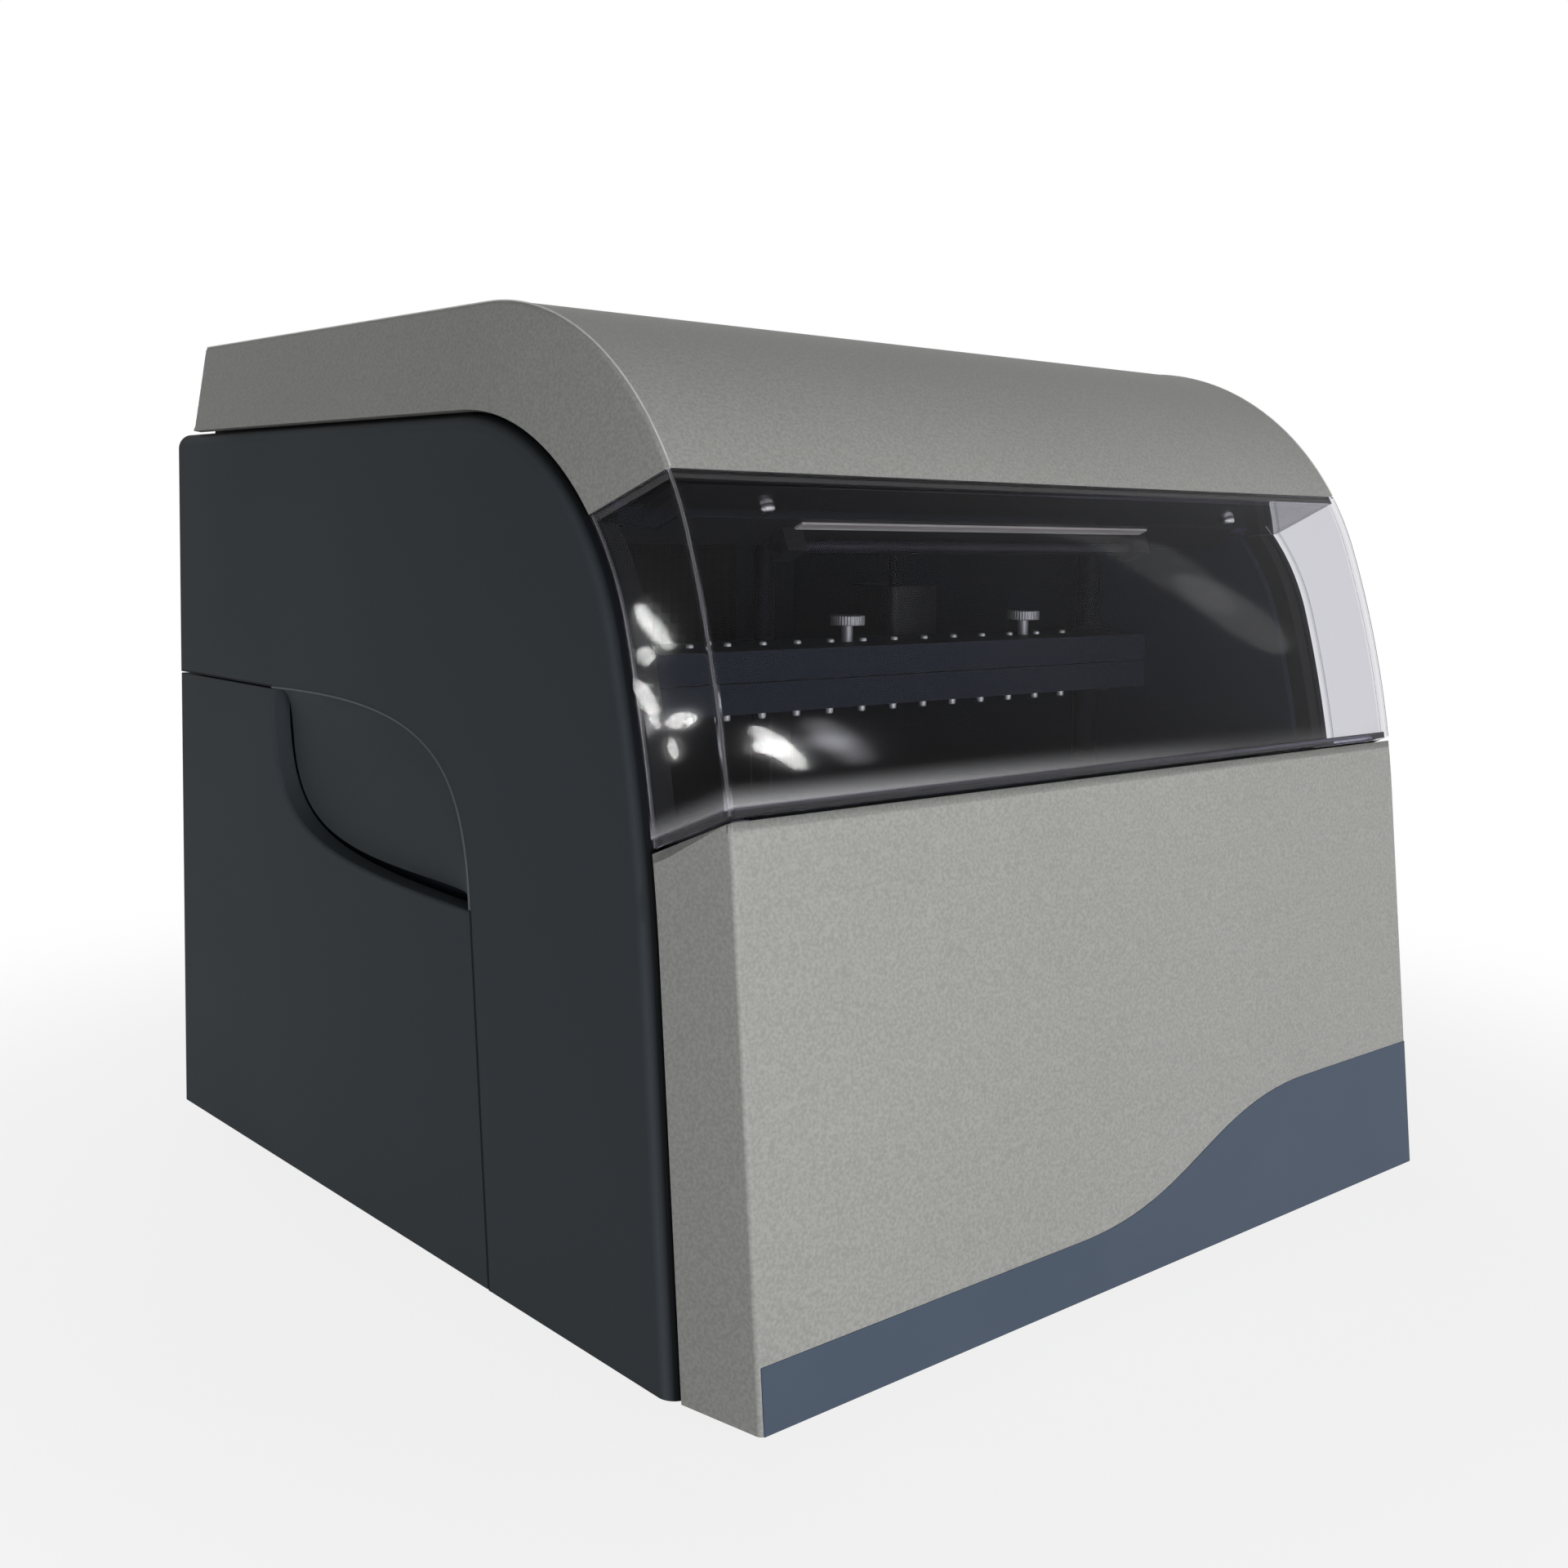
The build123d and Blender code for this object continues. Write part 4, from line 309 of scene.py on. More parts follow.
# ---- node helpers --------------------------------------------------------------------------------------
class Finish:
    """A material under construction: one Principled shader and the nodes that feed it."""

    def __init__(self, name, **settings):
        self.material = bpy.data.materials.new(name)
        self.material.use_nodes = True
        self.tree = self.material.node_tree
        self.shader = self.tree.nodes["Principled BSDF"]
        self.output = self.tree.nodes["Material Output"]
        self.place = self.node("ShaderNodeTexCoord").outputs["Object"]
        for socket, value in settings.items():
            self.shader.inputs[socket.replace("_", " ")].default_value = value

    def node(self, kind, **inputs):
        made = self.tree.nodes.new(kind)
        for socket, value in inputs.items():
            self.feed(made.inputs[socket.replace("_", " ")], value)
        return made

    def feed(self, socket, value):
        if isinstance(value, bpy.types.NodeSocket):
            self.tree.links.new(value, socket)
        else:
            socket.default_value = value

    def noise(self, scale, detail=2.0, stretch=(1, 1, 1)):
        mapping = self.node("ShaderNodeMapping", Vector=self.place, Scale=stretch)
        return self.node("ShaderNodeTexNoise", Vector=mapping.outputs[0], Scale=scale,
                         Detail=detail).outputs["Fac"]

    def ramp(self, factor, low, high, start=0.0, end=1.0):
        """A number that goes from low to high as factor goes from start to end."""
        made = self.node("ShaderNodeMapRange")
        for socket, value in zip(made.inputs, (factor, start, end, low, high)):
            self.feed(socket, value)
        return made.outputs[0]

    def calculated(self, operation, *values):
        made = self.tree.nodes.new("ShaderNodeMath")
        made.operation = operation
        for socket, value in zip(made.inputs, values):
            self.feed(socket, value)
        return made.outputs[0]

    def total(self, one, other):
        return self.calculated("ADD", one, other)

    def product(self, one, other):
        return self.calculated("MULTIPLY", one, other)

    def shade(self, factor, dark, light):
        """The base colour, from dark to light by factor."""
        made = self.tree.nodes.new("ShaderNodeMix")
        made.data_type = "RGBA"
        self.feed(made.inputs[0], factor)
        for socket, colour in zip(COLOUR_SOCKETS, (dark, light)):
            made.inputs[socket].default_value = (*colour, 1)
        self.feed(self.shader.inputs["Base Color"], made.outputs[2])

    def vary_gloss(self, factor, roughness, spread):
        """The roughness, which varies around its middle by factor."""
        low, high = (roughness + change for change in spread)
        self.feed(self.shader.inputs["Roughness"], self.ramp(factor, low, high, *BAND))

    def bump(self, height, strength, distance):
        made = self.node("ShaderNodeBump", Height=height, Strength=strength, Distance=distance)
        self.feed(self.shader.inputs["Normal"], made.outputs[0])


def silver_paint():
    """Warm silver lacquer: fine metal flake that mottles the tone, over a light orange peel."""
    look = Finish("silver_paint", Metallic=0.03, Specular_IOR_Level=0.06)
    flake = look.ramp(look.noise(FLAKE, 2.0), 0.0, 0.8, *FLAKE_BAND)
    cloud = look.ramp(look.noise(CLOUD, 3.0), 0.0, 0.2, *BAND)
    look.shade(look.total(flake, cloud), *SILVER_TONES)
    look.feed(look.shader.inputs["Roughness"], look.ramp(flake, 0.38, 0.5))
    look.bump(look.noise(PEEL, 2.0), 0.1, PEEL_DEPTH)
    return look.material


def moulded_plastic(name, dark, light, roughness, grain=PANEL_GRAIN, strength=0.25, **settings):
    """Moulded plastic with a fine spark-eroded grain and slight variation in tone and gloss."""
    look = Finish(name, **settings)
    fine = look.noise(grain, 3.0)
    broad = look.noise(BLOTCH, 4.0)
    look.shade(look.ramp(broad, 0.0, 1.0, *BAND), dark, light)
    look.vary_gloss(broad, roughness, PLASTIC_GLOSS)
    look.bump(fine, strength, GRAIN_DEPTH)
    return look.material


def anthracite_plastic():
    """Side panel plastic with painted shade: black in its seams and on the inner part of the edge that faces
    the front shell, darker at its top.
    """
    look = Finish("anthracite_plastic", Specular_IOR_Level=0.03)
    place = look.node("ShaderNodeSeparateXYZ", Vector=look.place)
    # Painted shade on the inner part of the edge that faces the front shell, where the gap lies in shade.
    inner = look.ramp(look.calculated("ABSOLUTE", place.outputs["X"]), 1.0, 0.0, *PAINTED_EDGE_SHADE_X)
    ahead = look.ramp(place.outputs["Y"], 1.0, 0.0, *PAINTED_EDGE_SHADE_Y)
    above = look.ramp(place.outputs["Z"], 0.0, 1.0, *PAINTED_EDGE_SHADE_Z)
    edge = look.product(inner, look.calculated("MAXIMUM", ahead, above))
    broad = look.ramp(look.noise(BLOTCH, 4.0), 0.0, 1.0, *BAND)
    # Painted shade: the panel grows darker towards its top.
    top_shade = look.ramp(place.outputs["Z"], 1.0, PAINTED_TOP_SHADE, *PAINTED_TOP_SHADE_Z)
    # Painted shade along the upright and the level seam between the upper and lower panels.
    along = look.calculated("SUBTRACT", look.product(look.total(place.outputs["Y"], -SEAM_FOOT_Y), cos(LEAN)),
                            look.product(look.total(place.outputs["Z"], -CASE_Z), sin(LEAN)))
    upright = look.product(look.ramp(look.calculated("ABSOLUTE", along), 1.0, 0.0, *PAINTED_SEAM_SHADE),
                           look.ramp(place.outputs["Z"], 1.0, 0.0, SCOOP_FRONT[1] - SEAM_END, SCOOP_FRONT[1]))
    rise = look.total(place.outputs["Z"], -SCOOP_BACK[1])
    level = look.product(look.ramp(look.calculated("ABSOLUTE", rise), 1.0, 0.0, *PAINTED_SEAM_SHADE),
                         look.ramp(place.outputs["Y"], 0.0, 1.0, SCOOP_BACK[0], SCOOP_BACK[0] + SEAM_END))
    # All painted shade: in the seams and on the edge by the front shell.
    dark = look.calculated("MAXIMUM", edge, look.calculated("MAXIMUM", upright, level))
    tone = look.product(look.product(look.ramp(broad, 0.9, 1.0), top_shade), look.ramp(dark, 1.0, PAINTED_SHADE_TONE))
    look.shade(tone, *PANEL_TONES)
    look.feed(look.shader.inputs["Roughness"], look.ramp(broad, 0.5, 0.6))
    look.bump(look.noise(PANEL_GRAIN, 3.0), 0.2, GRAIN_DEPTH)
    return look.material


def lined_sheet():
    """Grey sheet with a black lining on the side towards the chamber."""
    look = Finish("lined_sheet", Roughness=0.55, Specular_IOR_Level=0.15)
    depth = look.node("ShaderNodeSeparateXYZ", Vector=look.place).outputs["Y"]
    outside = look.ramp(depth, 0.0, 1.0, LINING_Y, LINING_Y + LINING_EDGE)
    grain = look.ramp(look.noise(BLOTCH, 4.0), 0.85, 1.0, *BAND)
    look.shade(look.product(outside, grain), *LINED_TONES)
    look.bump(look.noise(SHEET_GRAIN, 3.0), 0.15, GRAIN_DEPTH)
    return look.material


def brushed_metal(name, dark, light, roughness, stretch=(8, 1, 8), metallic=1.0, specular=0.5):
    """Metal with fine drawn or brushed lines along one axis."""
    look = Finish(name, Metallic=metallic, Specular_IOR_Level=specular)
    lines = look.noise(BRUSH, 3.0, stretch)
    broad = look.noise(BRUSH_BLOTCH, 3.0)
    look.shade(look.ramp(lines, 0.0, 1.0, *BAND), dark, light)
    look.vary_gloss(broad, roughness, METAL_GLOSS)
    look.bump(lines, 0.15, BRUSH_DEPTH)
    return look.material


def clear_plastic(name, bend, tint, density, hazed=True):
    """Clear, slightly wavy acrylic, tinted by its thickness and, if hazed, dulled above its foot."""
    look = Finish(name, Transmission_Weight=1.0, Roughness=0.0, IOR=bend, Base_Color=PANE_TONE,
                  Coat_Weight=1.0, Coat_IOR=COAT_BEND, Coat_Roughness=COAT_ROUGHNESS)
    if hazed:
        along = look.node("ShaderNodeVectorMath", Vector=look.place)
        along.operation = "DOT_PRODUCT"
        along.inputs[1].default_value = SLOPE_UP
        foot = SILL.dot(SLOPE_UP)
        low = look.ramp(along.outputs["Value"], 1.0, 0.0, foot + LIP, foot + HAZE_RISE)
        across = look.node("ShaderNodeSeparateXYZ", Vector=look.place).outputs["X"]
        above_lip = look.ramp(along.outputs["Value"], 0.0, 1.0, *(foot + share * LIP for share in LIP_EDGE))
        haze = look.product(look.product(low, low), look.ramp(across, 1.0, HAZE_RIGHT, *HAZE_X))
        haze = look.product(haze, above_lip)
        look.feed(look.shader.inputs["Transmission Weight"], look.ramp(haze, 1.0, HAZE_CLEAR))
    through = look.node("ShaderNodeBsdfTransparent", Color=PANE_SHADOW)
    rays = look.node("ShaderNodeLightPath")
    mix = look.tree.nodes.new("ShaderNodeMixShader")
    look.feed(mix.inputs[0], rays.outputs["Is Shadow Ray"])
    look.feed(mix.inputs[1], look.shader.outputs[0])
    look.feed(mix.inputs[2], through.outputs[0])
    look.feed(look.output.inputs["Surface"], mix.outputs[0])
    inside = look.node("ShaderNodeVolumeAbsorption", Color=(*tint, 1), Density=density)
    look.feed(look.output.inputs["Volume"], inside.outputs[0])
    look.bump(look.noise(WAVE, 1.0, (1, 3, 3)), 0.03, WAVE_DEPTH)
    return look.material


def lamp_glass():
    """Dark quartz tube of an unlit ultraviolet lamp."""
    look = Finish("lamp_glass", Roughness=0.2, Specular_IOR_Level=0.12)
    look.shade(look.noise(LAMP_MOTTLE), *LAMP_TONES)
    return look.material


# One finish for each material slot of the record.
FINISHES = {
    "silver_paint": silver_paint(),
    "anthracite_plastic": anthracite_plastic(),
    "clear_plastic": clear_plastic("clear_plastic", PANE_BEND, (0.50, 0.50, 0.56), 85.0),
    "slate_band": moulded_plastic("slate_band", (0.076, 0.102, 0.147), (0.090, 0.116, 0.163), 0.5, 700.0,
                                  0.1, Specular_IOR_Level=0.12),
    "black_plastic": moulded_plastic("black_plastic", (0.007, 0.007, 0.009), (0.012, 0.012, 0.015), 0.45,
                                     Specular_IOR_Level=0.12),
    "black_sheet": moulded_plastic("black_sheet", (0.017, 0.020, 0.032), (0.022, 0.026, 0.041), 0.6, 120.0,
                                   0.02, Specular_IOR_Level=0.05),
    "black_anodised": brushed_metal("black_anodised", (0.013, 0.016, 0.024), (0.019, 0.023, 0.033), 0.5,
                                    (1, 8, 8), metallic=0.0, specular=0.06),
    "grey_sheet": moulded_plastic("grey_sheet", (0.19, 0.20, 0.205), (0.235, 0.24, 0.245), 0.5, SHEET_GRAIN,
                                  0.2),
    "plain_aluminium": brushed_metal("plain_aluminium", (0.42, 0.43, 0.44), (0.56, 0.57, 0.58), 0.38),
    "bright_steel": brushed_metal("bright_steel", (0.50, 0.50, 0.50), (0.66, 0.66, 0.65), 0.22, (6, 6, 1)),
    "brass": brushed_metal("brass", (0.48, 0.34, 0.13), (0.62, 0.45, 0.18), 0.3, (6, 6, 1)),
    "rubber": moulded_plastic("rubber", (0.008, 0.008, 0.009), (0.014, 0.014, 0.014), 0.75, 500.0, 0.4,
                              Specular_IOR_Level=0.08),
    "motor_black": moulded_plastic("motor_black", (0.006, 0.006, 0.008), (0.010, 0.010, 0.012), 0.4,
                                   Specular_IOR_Level=0.12),
    "lamp_glass": lamp_glass(),
    "board_green": moulded_plastic("board_green", (0.010, 0.070, 0.030), (0.016, 0.105, 0.045), 0.35),
    "port_metal": brushed_metal("port_metal", (0.48, 0.48, 0.46), (0.60, 0.60, 0.57), 0.3, (8, 1, 1)),
}

# Finishes of single pieces, used in place of the finish of their record's slot.
CLEAR_EDGE = clear_plastic("clear_plastic_edge", LIP_BEND, (0.30, 0.28, 0.44), 190.0, False)
DARKENED_STEEL = moulded_plastic("darkened_steel", (0.004, 0.004, 0.007), (0.007, 0.007, 0.011), 0.5, 300.0,
                                 0.05, Specular_IOR_Level=0.04)
REFLECTOR_METAL = brushed_metal("reflector_metal", (0.42, 0.40, 0.37), (0.50, 0.48, 0.44), 0.5, (1, 8, 8),
                                metallic=0.15)
KNOB_METAL = brushed_metal("knob_metal", (0.20, 0.20, 0.20), (0.30, 0.30, 0.30), 0.4, (6, 6, 1), metallic=0.4)
ROD_METAL = brushed_metal("rod_metal", (0.68, 0.68, 0.66), (0.80, 0.80, 0.78), 0.35, (6, 6, 1), metallic=0.3)
# A light silver for the painted highlight along the hood's creases.
PAINTED_HIGHLIGHT_SILVER = brushed_metal("painted_highlight_silver", (0.60, 0.60, 0.58), (0.72, 0.72, 0.70), 0.35, (6, 1, 1),
                                metallic=0.2, specular=0.3)
# A lighter grey for the painted highlight along the scoops' upper edges.
PAINTED_HIGHLIGHT_EDGE = moulded_plastic("painted_highlight_edge", (0.095, 0.103, 0.11), (0.12, 0.13, 0.14), 0.4, 300.0, 0.05,
                                Specular_IOR_Level=0.1)
DARKENED = ("guide_rods", "lift_screw", "hinge_leaves_moving", "hinge_leaves_fixed", "hinge_pins",
            "plunger_bushes", "magnet_bushes", "drive_nut", "drive_screw")
SPECIAL = {name: DARKENED_STEEL for name in DARKENED}
SPECIAL |= {f"thumb_screw_{side}": KNOB_METAL for side in ("left", "middle", "right")}
SPECIAL |= {"magnet_rods": ROD_METAL, "back_panel": lined_sheet()}
NODE_FINISH = {part["node"]: part["material_slot"] for part in frame["record"]["subparts"]}


def coat(piece, finish, material=None):
    """Gives the whole piece one finish: the given material, or else the finish of that name."""
    piece.data.materials.clear()
    piece.data.materials.append(material or FINISHES[finish])
    return piece


def dress_node(name):
    node = frame["nodes"][name]
    if not node.material_slots:
        node.data.materials.append(None)
    for slot in node.material_slots:
        slot.link = "OBJECT"
        slot.material = SPECIAL.get(name, FINISHES[NODE_FINISH[name]])


def refine(name, body, edge):
    """A node's own shape with merged corners, flat faces made whole, softened edges and even shading."""
    node = frame["nodes"][name]
    nothing_selected()
    piece = bpy.data.objects.new(name + "_finished", node.data.copy())
    bpy.context.scene.collection.objects.link(piece)
    edit(piece)
    bpy.ops.mesh.select_all(action="SELECT")
    bpy.ops.mesh.remove_doubles(threshold=MERGE)
    bpy.ops.mesh.select_all(action="SELECT")
    bpy.ops.mesh.dissolve_limited(angle_limit=FLAT_UNDER)
    close(piece)
    if edge:
        soften(piece, edge)
    smooth(piece)
    coat(piece, NODE_FINISH[name], SPECIAL.get(name))
    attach(piece, body)
    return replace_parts(piece, name)


# Softened edge of each kept shape, by the body that it rides on.
EDGES = {
    "cabinet": {
        "side_panel_upper_left": 0.0006, "side_panel_upper_right": 0.0006, "side_panel_lower_left": 0.0006,
        "side_panel_lower_right": 0.0006, "inner_wall_left": 0.0003, "inner_wall_right": 0.0003,
        "base_plate": 0.0003, "back_panel": 0.0003, "deck_plate": 0.0003, "cross_beams": 0.0005,
        "guide_rods": 0.0005, "platform_rails": 0.0004, "platform_motor": 0.0005, "drive_motor": 0.0006,
        "drive_belt": 0.0, "power_inlet": 0.0004, "switch_bezel": 0.0003, "data_ports": 0.0001,
        "fan_frame": 0.0005, "power_supply": 0.0006, "circuit_boards": 0.0002, "rubber_feet": 0.0,
        "back_screws": 0.0005, "front_band": 0.0, "sill_seal": 0.0, "side_seal_left": 0.0003,
        "side_seal_right": 0.0003, "hinge_leaves_fixed": 0.0003, "hinge_pins": 0.0003,
    },
    "door": {
        "door_crossbar": 0.0003, "door_liner": 0.0003, "door_screws": 0.0002, "lamp_tube": 0.0006,
        "hinge_leaves_moving": 0.0003,
    },
    "plunger_carriage": {
        "plunger_bar": 0.0004, "plunger_collars": 0.0003, "plunger_bushes": 0.0003, "drive_nut": 0.0004,
        "lift_screw": 0.0004,
    },
    "magnet_carriage": {
        "magnet_bar": 0.0004, "magnet_rods": 0.0006, "magnet_bushes": 0.0003, "lift_motor": 0.0005,
    },
    "thumb_screw_a": {"thumb_screw_left": 0.0003},
    "thumb_screw_b": {"thumb_screw_middle": 0.0003},
    "thumb_screw_c": {"thumb_screw_right": 0.0003},
    "drive_screw": {"drive_screw": 0.0005},
    "platform": {
        "platform": 0.0004, "heater_block": 0.0005, "platform_carriages": 0.0004, "belt_clamp": 0.0004,
    },
    "tray_clip_a": {"tray_clip_left": 0.0003},
    "tray_clip_b": {"tray_clip_right": 0.0003},
    "pulley_front": {"belt_pulley_front": 0.0002},
    "pulley_back": {"belt_pulley_back": 0.0002},
    "power_switch": {"switch_rocker": 0.0004},
    "fan": {"fan_rotor": 0.0003},
}


# ---- front shell ---------------------------------------------------------------------------------------
def rolled_sheet(name, half, foot_y, top_z, radii, turn):
    """A sheet that leans back, rolls over in a gentle and a tight arc, and runs level to the back."""
    middle = LEAN + turn
    climb = radii[0] * (sin(middle) - sin(LEAN)) + radii[1] * (1 - sin(middle))
    start = Vector((0, foot_y + (top_z - climb - CASE_Z) * tan(LEAN), top_z - climb))
    gentle = start + radii[0] * Vector((0, cos(LEAN), -sin(LEAN)))
    tight = gentle + (radii[1] - radii[0]) * Vector((0, cos(middle), -sin(middle)))
    nothing_selected()
    bpy.ops.mesh.primitive_plane_add(size=2 * half, location=(0, foot_y + half, CASE_Z))
    sheet = named(bpy.context.object, name)
    bpy.ops.object.transform_apply(location=True)
    edit(sheet)
    pick(sheet, "VERT", lambda at: at[0].y > foot_y + half)
    bpy.ops.mesh.delete(type="VERT")
    pick(sheet, "EDGE", lambda at: True)
    bpy.ops.mesh.extrude_region_move(TRANSFORM_OT_translate={"value": start - Vector((0, foot_y, CASE_Z))})
    bpy.ops.mesh.spin(steps=GENTLE_STEPS, angle=turn, center=gentle, axis=(1, 0, 0))
    bpy.ops.mesh.spin(steps=TIGHT_STEPS, angle=pi / 2 - middle, center=tight, axis=(1, 0, 0))
    bpy.ops.mesh.extrude_region_move(TRANSFORM_OT_translate={"value": (0, HOOD_BACK - tight.y, 0)})
    return close(sheet)


def front_skin():
    """The door and front as one outer skin: the middle between the creases, and a strip out to each rim."""
    skin = rolled_sheet("front_skin", CREASE_X, FRONT_Y, CREASE_TOP, CREASE_RADII, CREASE_TURN)
    rim = rolled_sheet("rim_sheet", RIM_X, FRONT_Y + RIM_SETBACK, RIM_TOP, RIM_RADII, RIM_TURN)
    skin = joined([skin, rim], "front_skin")
    edit(skin)
    for side in (-1, 1):
        pick(skin, "EDGE", lambda at: all(side * p.x > 0 for p in at))
        bpy.ops.mesh.bridge_edge_loops()
    pick(skin, "FACE", lambda at: all(abs(abs(p.x) - RIM_X) < NEAR for p in at))
    bpy.ops.mesh.delete(type="FACE")
    bpy.ops.mesh.select_all(action="SELECT")
    bpy.ops.mesh.normals_make_consistent(inside=False)
    mesh = bmesh.from_edit_mesh(skin.data)
    mesh.faces.ensure_lookup_table()
    lowest = min(mesh.faces, key=lambda face: face.calc_center_median().z + abs(face.calc_center_median().x))
    if lowest.normal.y > 0:
        bpy.ops.mesh.flip_normals()
    return close(skin)


def walled(sheet, wall=WALL, crease=CREASE_ROUND):
    """Softens the sheet's creases and puts its wall behind it."""
    modify(sheet, "BEVEL", width=crease, segments=3, limit_method="ANGLE", angle_limit=CREASE_OVER)
    return modify(sheet, "SOLIDIFY", thickness=wall, offset=-1, use_even_offset=True,
                  use_quality_normals=True)


def close_hood_back(hood):
    """Rear wall down to the hinge line, with a notch for each hinge."""
    edit(hood)
    pick(hood, "EDGE", lambda at: all(p.y > HOOD_BACK - NEAR for p in at))
    bpy.ops.mesh.edge_face_add()
    cuts = [((0, 0, REAR_WALL_LOW), (0, 0, 1)), ((0, 0, NOTCH_TOP), (0, 0, 1))]
    cuts += [((side * HINGE_X + edge, 0, 0), (1, 0, 0))
             for side in (-1, 1) for edge in (-NOTCH_HALF, NOTCH_HALF)]
    for point, normal in cuts:
        pick(hood, "FACE", lambda at: all(p.y > HOOD_BACK - NEAR for p in at))
        bpy.ops.mesh.bisect(plane_co=point, plane_no=normal)

    def opened(at):
        if any(p.y < HOOD_BACK - NEAR for p in at):
            return False
        middle = sum(at, Vector()) / len(at)
        at_hinge = abs(abs(middle.x) - HINGE_X) < NOTCH_HALF
        return middle.z < REAR_WALL_LOW or (at_hinge and middle.z < NOTCH_TOP)

    pick(hood, "FACE", opened)
    bpy.ops.mesh.delete(type="FACE")
    return close(hood)


def shape_hood(skin):
    hood = duplicate(skin, "hood")
    close_hood_back(hood)
    walled(hood)
    slice_off(hood, HEAD, SLOPE_UP, True, True)
    soften(hood, EDGE_ROUND)
    smooth(hood)
    coat(hood, "silver_paint")
    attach(hood, "door")
    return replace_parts(hood, "door_hood")


def hood_crease_highlight(skin):
    """Fine lines that follow the hood's two creases, in a light silver that paints the creases' highlight."""
    lines = [bead_along(skin, "hood_crease_highlight", side * CREASE_X, (-side * HIGHLIGHT_LINE_INSET, 0, 0), HIGHLIGHT_LINE, HEAD)
             for side in (-1, 1)]
    piping = joined(lines, "hood_crease_highlight")
    smooth(piping)
    coat(piping, "silver_paint", PAINTED_HIGHLIGHT_SILVER)
    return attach(piping, "door")


def shape_front(skin):
    front = walled(duplicate(skin, "front"))
    slice_off(front, SILL - SHELF_TOP * SLOPE_UP, SLOPE_UP, False, True)
    ledge = walled(duplicate(skin, "front_ledge"), SHELF)
    slice_off(ledge, SILL - SHELF_TOP * SLOPE_UP, SLOPE_UP, False, True)
    slice_off(ledge, SILL - SHELF_FOOT * SLOPE_UP, SLOPE_UP, True, True)
    front = joined([front, ledge], "front")
    soften(front, EDGE_ROUND)
    smooth(front)
    coat(front, "silver_paint")
    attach(front, "cabinet")
    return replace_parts(front, "front_panel")


def lip_ring(skin, name, depth, level, low, high):
    """A ledge that lies along the window's slope: it starts inside the wall and reaches in to depth."""
    lip = duplicate(skin, name)
    inner = depth - WALL / 2
    modify(lip, "SOLIDIFY", thickness=inner, offset=-1 - WALL / inner, use_even_offset=True,
           use_quality_normals=True)
    slice_off(lip, level + low * SLOPE_UP, SLOPE_UP, True, True)
    return slice_off(lip, level + high * SLOPE_UP, SLOPE_UP, False, True)


def bead_along(skin, name, x, inset, radius, foot, head=None):
    """A thin round bead along the skin's edge at x, moved by inset, from foot up to head or to its end."""
    bead = duplicate(skin, name)
    slice_off(bead, foot + BEAD_END * SLOPE_UP, SLOPE_UP, True, False)
    if head:
        slice_off(bead, head - BEAD_END * SLOPE_UP, SLOPE_UP, False, False)
    edit(bead)
    pick(bead, "EDGE", lambda at: any(abs(p.x - x) > NEAR for p in at))
    bpy.ops.mesh.delete(type="EDGE")
    bpy.ops.mesh.select_all(action="SELECT")
    bpy.ops.transform.translate(value=inset)
    close(bead)
    bpy.ops.object.convert(target="CURVE")
    bead.data.bevel_depth = radius
    bead.data.bevel_resolution = 3
    bead.data.use_fill_caps = True
    bpy.ops.object.convert(target="MESH")
    return bead


def shape_window(skin):
    """Clear window: a rolled pane, and thicker lips and edge beads that are moulded onto it."""
    pane = walled(duplicate(skin, "window_pane"), crease=PANE_CREASE_ROUND)
    slice_off(pane, HEAD - PANE_GAP * SLOPE_UP, SLOPE_UP, False, True)
    slice_off(pane, SILL, SLOPE_UP, True, True)
    edges = [lip_ring(skin, "foot_lip", FOOT_LIP, SILL, FOOT_LIP_GAP, LIP),
             lip_ring(skin, "head_lip", HEAD_LIP, HEAD, -LIP, -HEAD_LIP_GAP)]
    for side in (-1, 1):
        for name, x, inset in (
            ("crease_bead", side * CREASE_X, (-CREASE_BEAD_IN * side * BEAD, CREASE_BEAD_IN * BEAD, 0)),
            ("rim_bead", side * RIM_X, (-RIM_BEAD_IN * side * BEAD, -RIM_BEAD_IN * BEAD, 0)),
        ):
            edges.append(bead_along(skin, name, x, inset, BEAD, SILL, HEAD))
    lips = joined(edges, "window_edges")
    for piece, material in ((pane, None), (lips, CLEAR_EDGE)):
        soften(piece, PANE_EDGE_ROUND)
        smooth(piece)
        coat(piece, "clear_plastic", material)
        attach(piece, "door")
    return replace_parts(pane, "door_window")


def lamp_reflector():
    """Bright strip along the underside of the crossbar, ahead of the lamp."""
    back = Vector((0, cos(TILT), -sin(TILT)))
    middle = HEAD + REFLECTOR_BACK * back - REFLECTOR_WALL / 2 * SLOPE_UP
    strip = named(block((0, 0, 0), (2 * REFLECTOR_HALF, REFLECTOR_WIDTH, REFLECTOR_WALL)), "lamp_reflector")
    edit(strip)
    pick(strip, "FACE", lambda at: all(p.z < 0 for p in at))
    bpy.ops.mesh.inset(thickness=REFLECTOR_RIM)
    bpy.ops.transform.translate(value=(0, 0, REFLECTOR_DISH))
    close(strip)
    modify(strip, "BEVEL", width=STRIP_ROUND, segments=2)
    strip.data.transform(Matrix.Translation(middle) @ Matrix.Rotation(-TILT, 4, "X"))
    smooth(strip)
    coat(strip, "plain_aluminium", REFLECTOR_METAL)
    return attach(strip, "door")


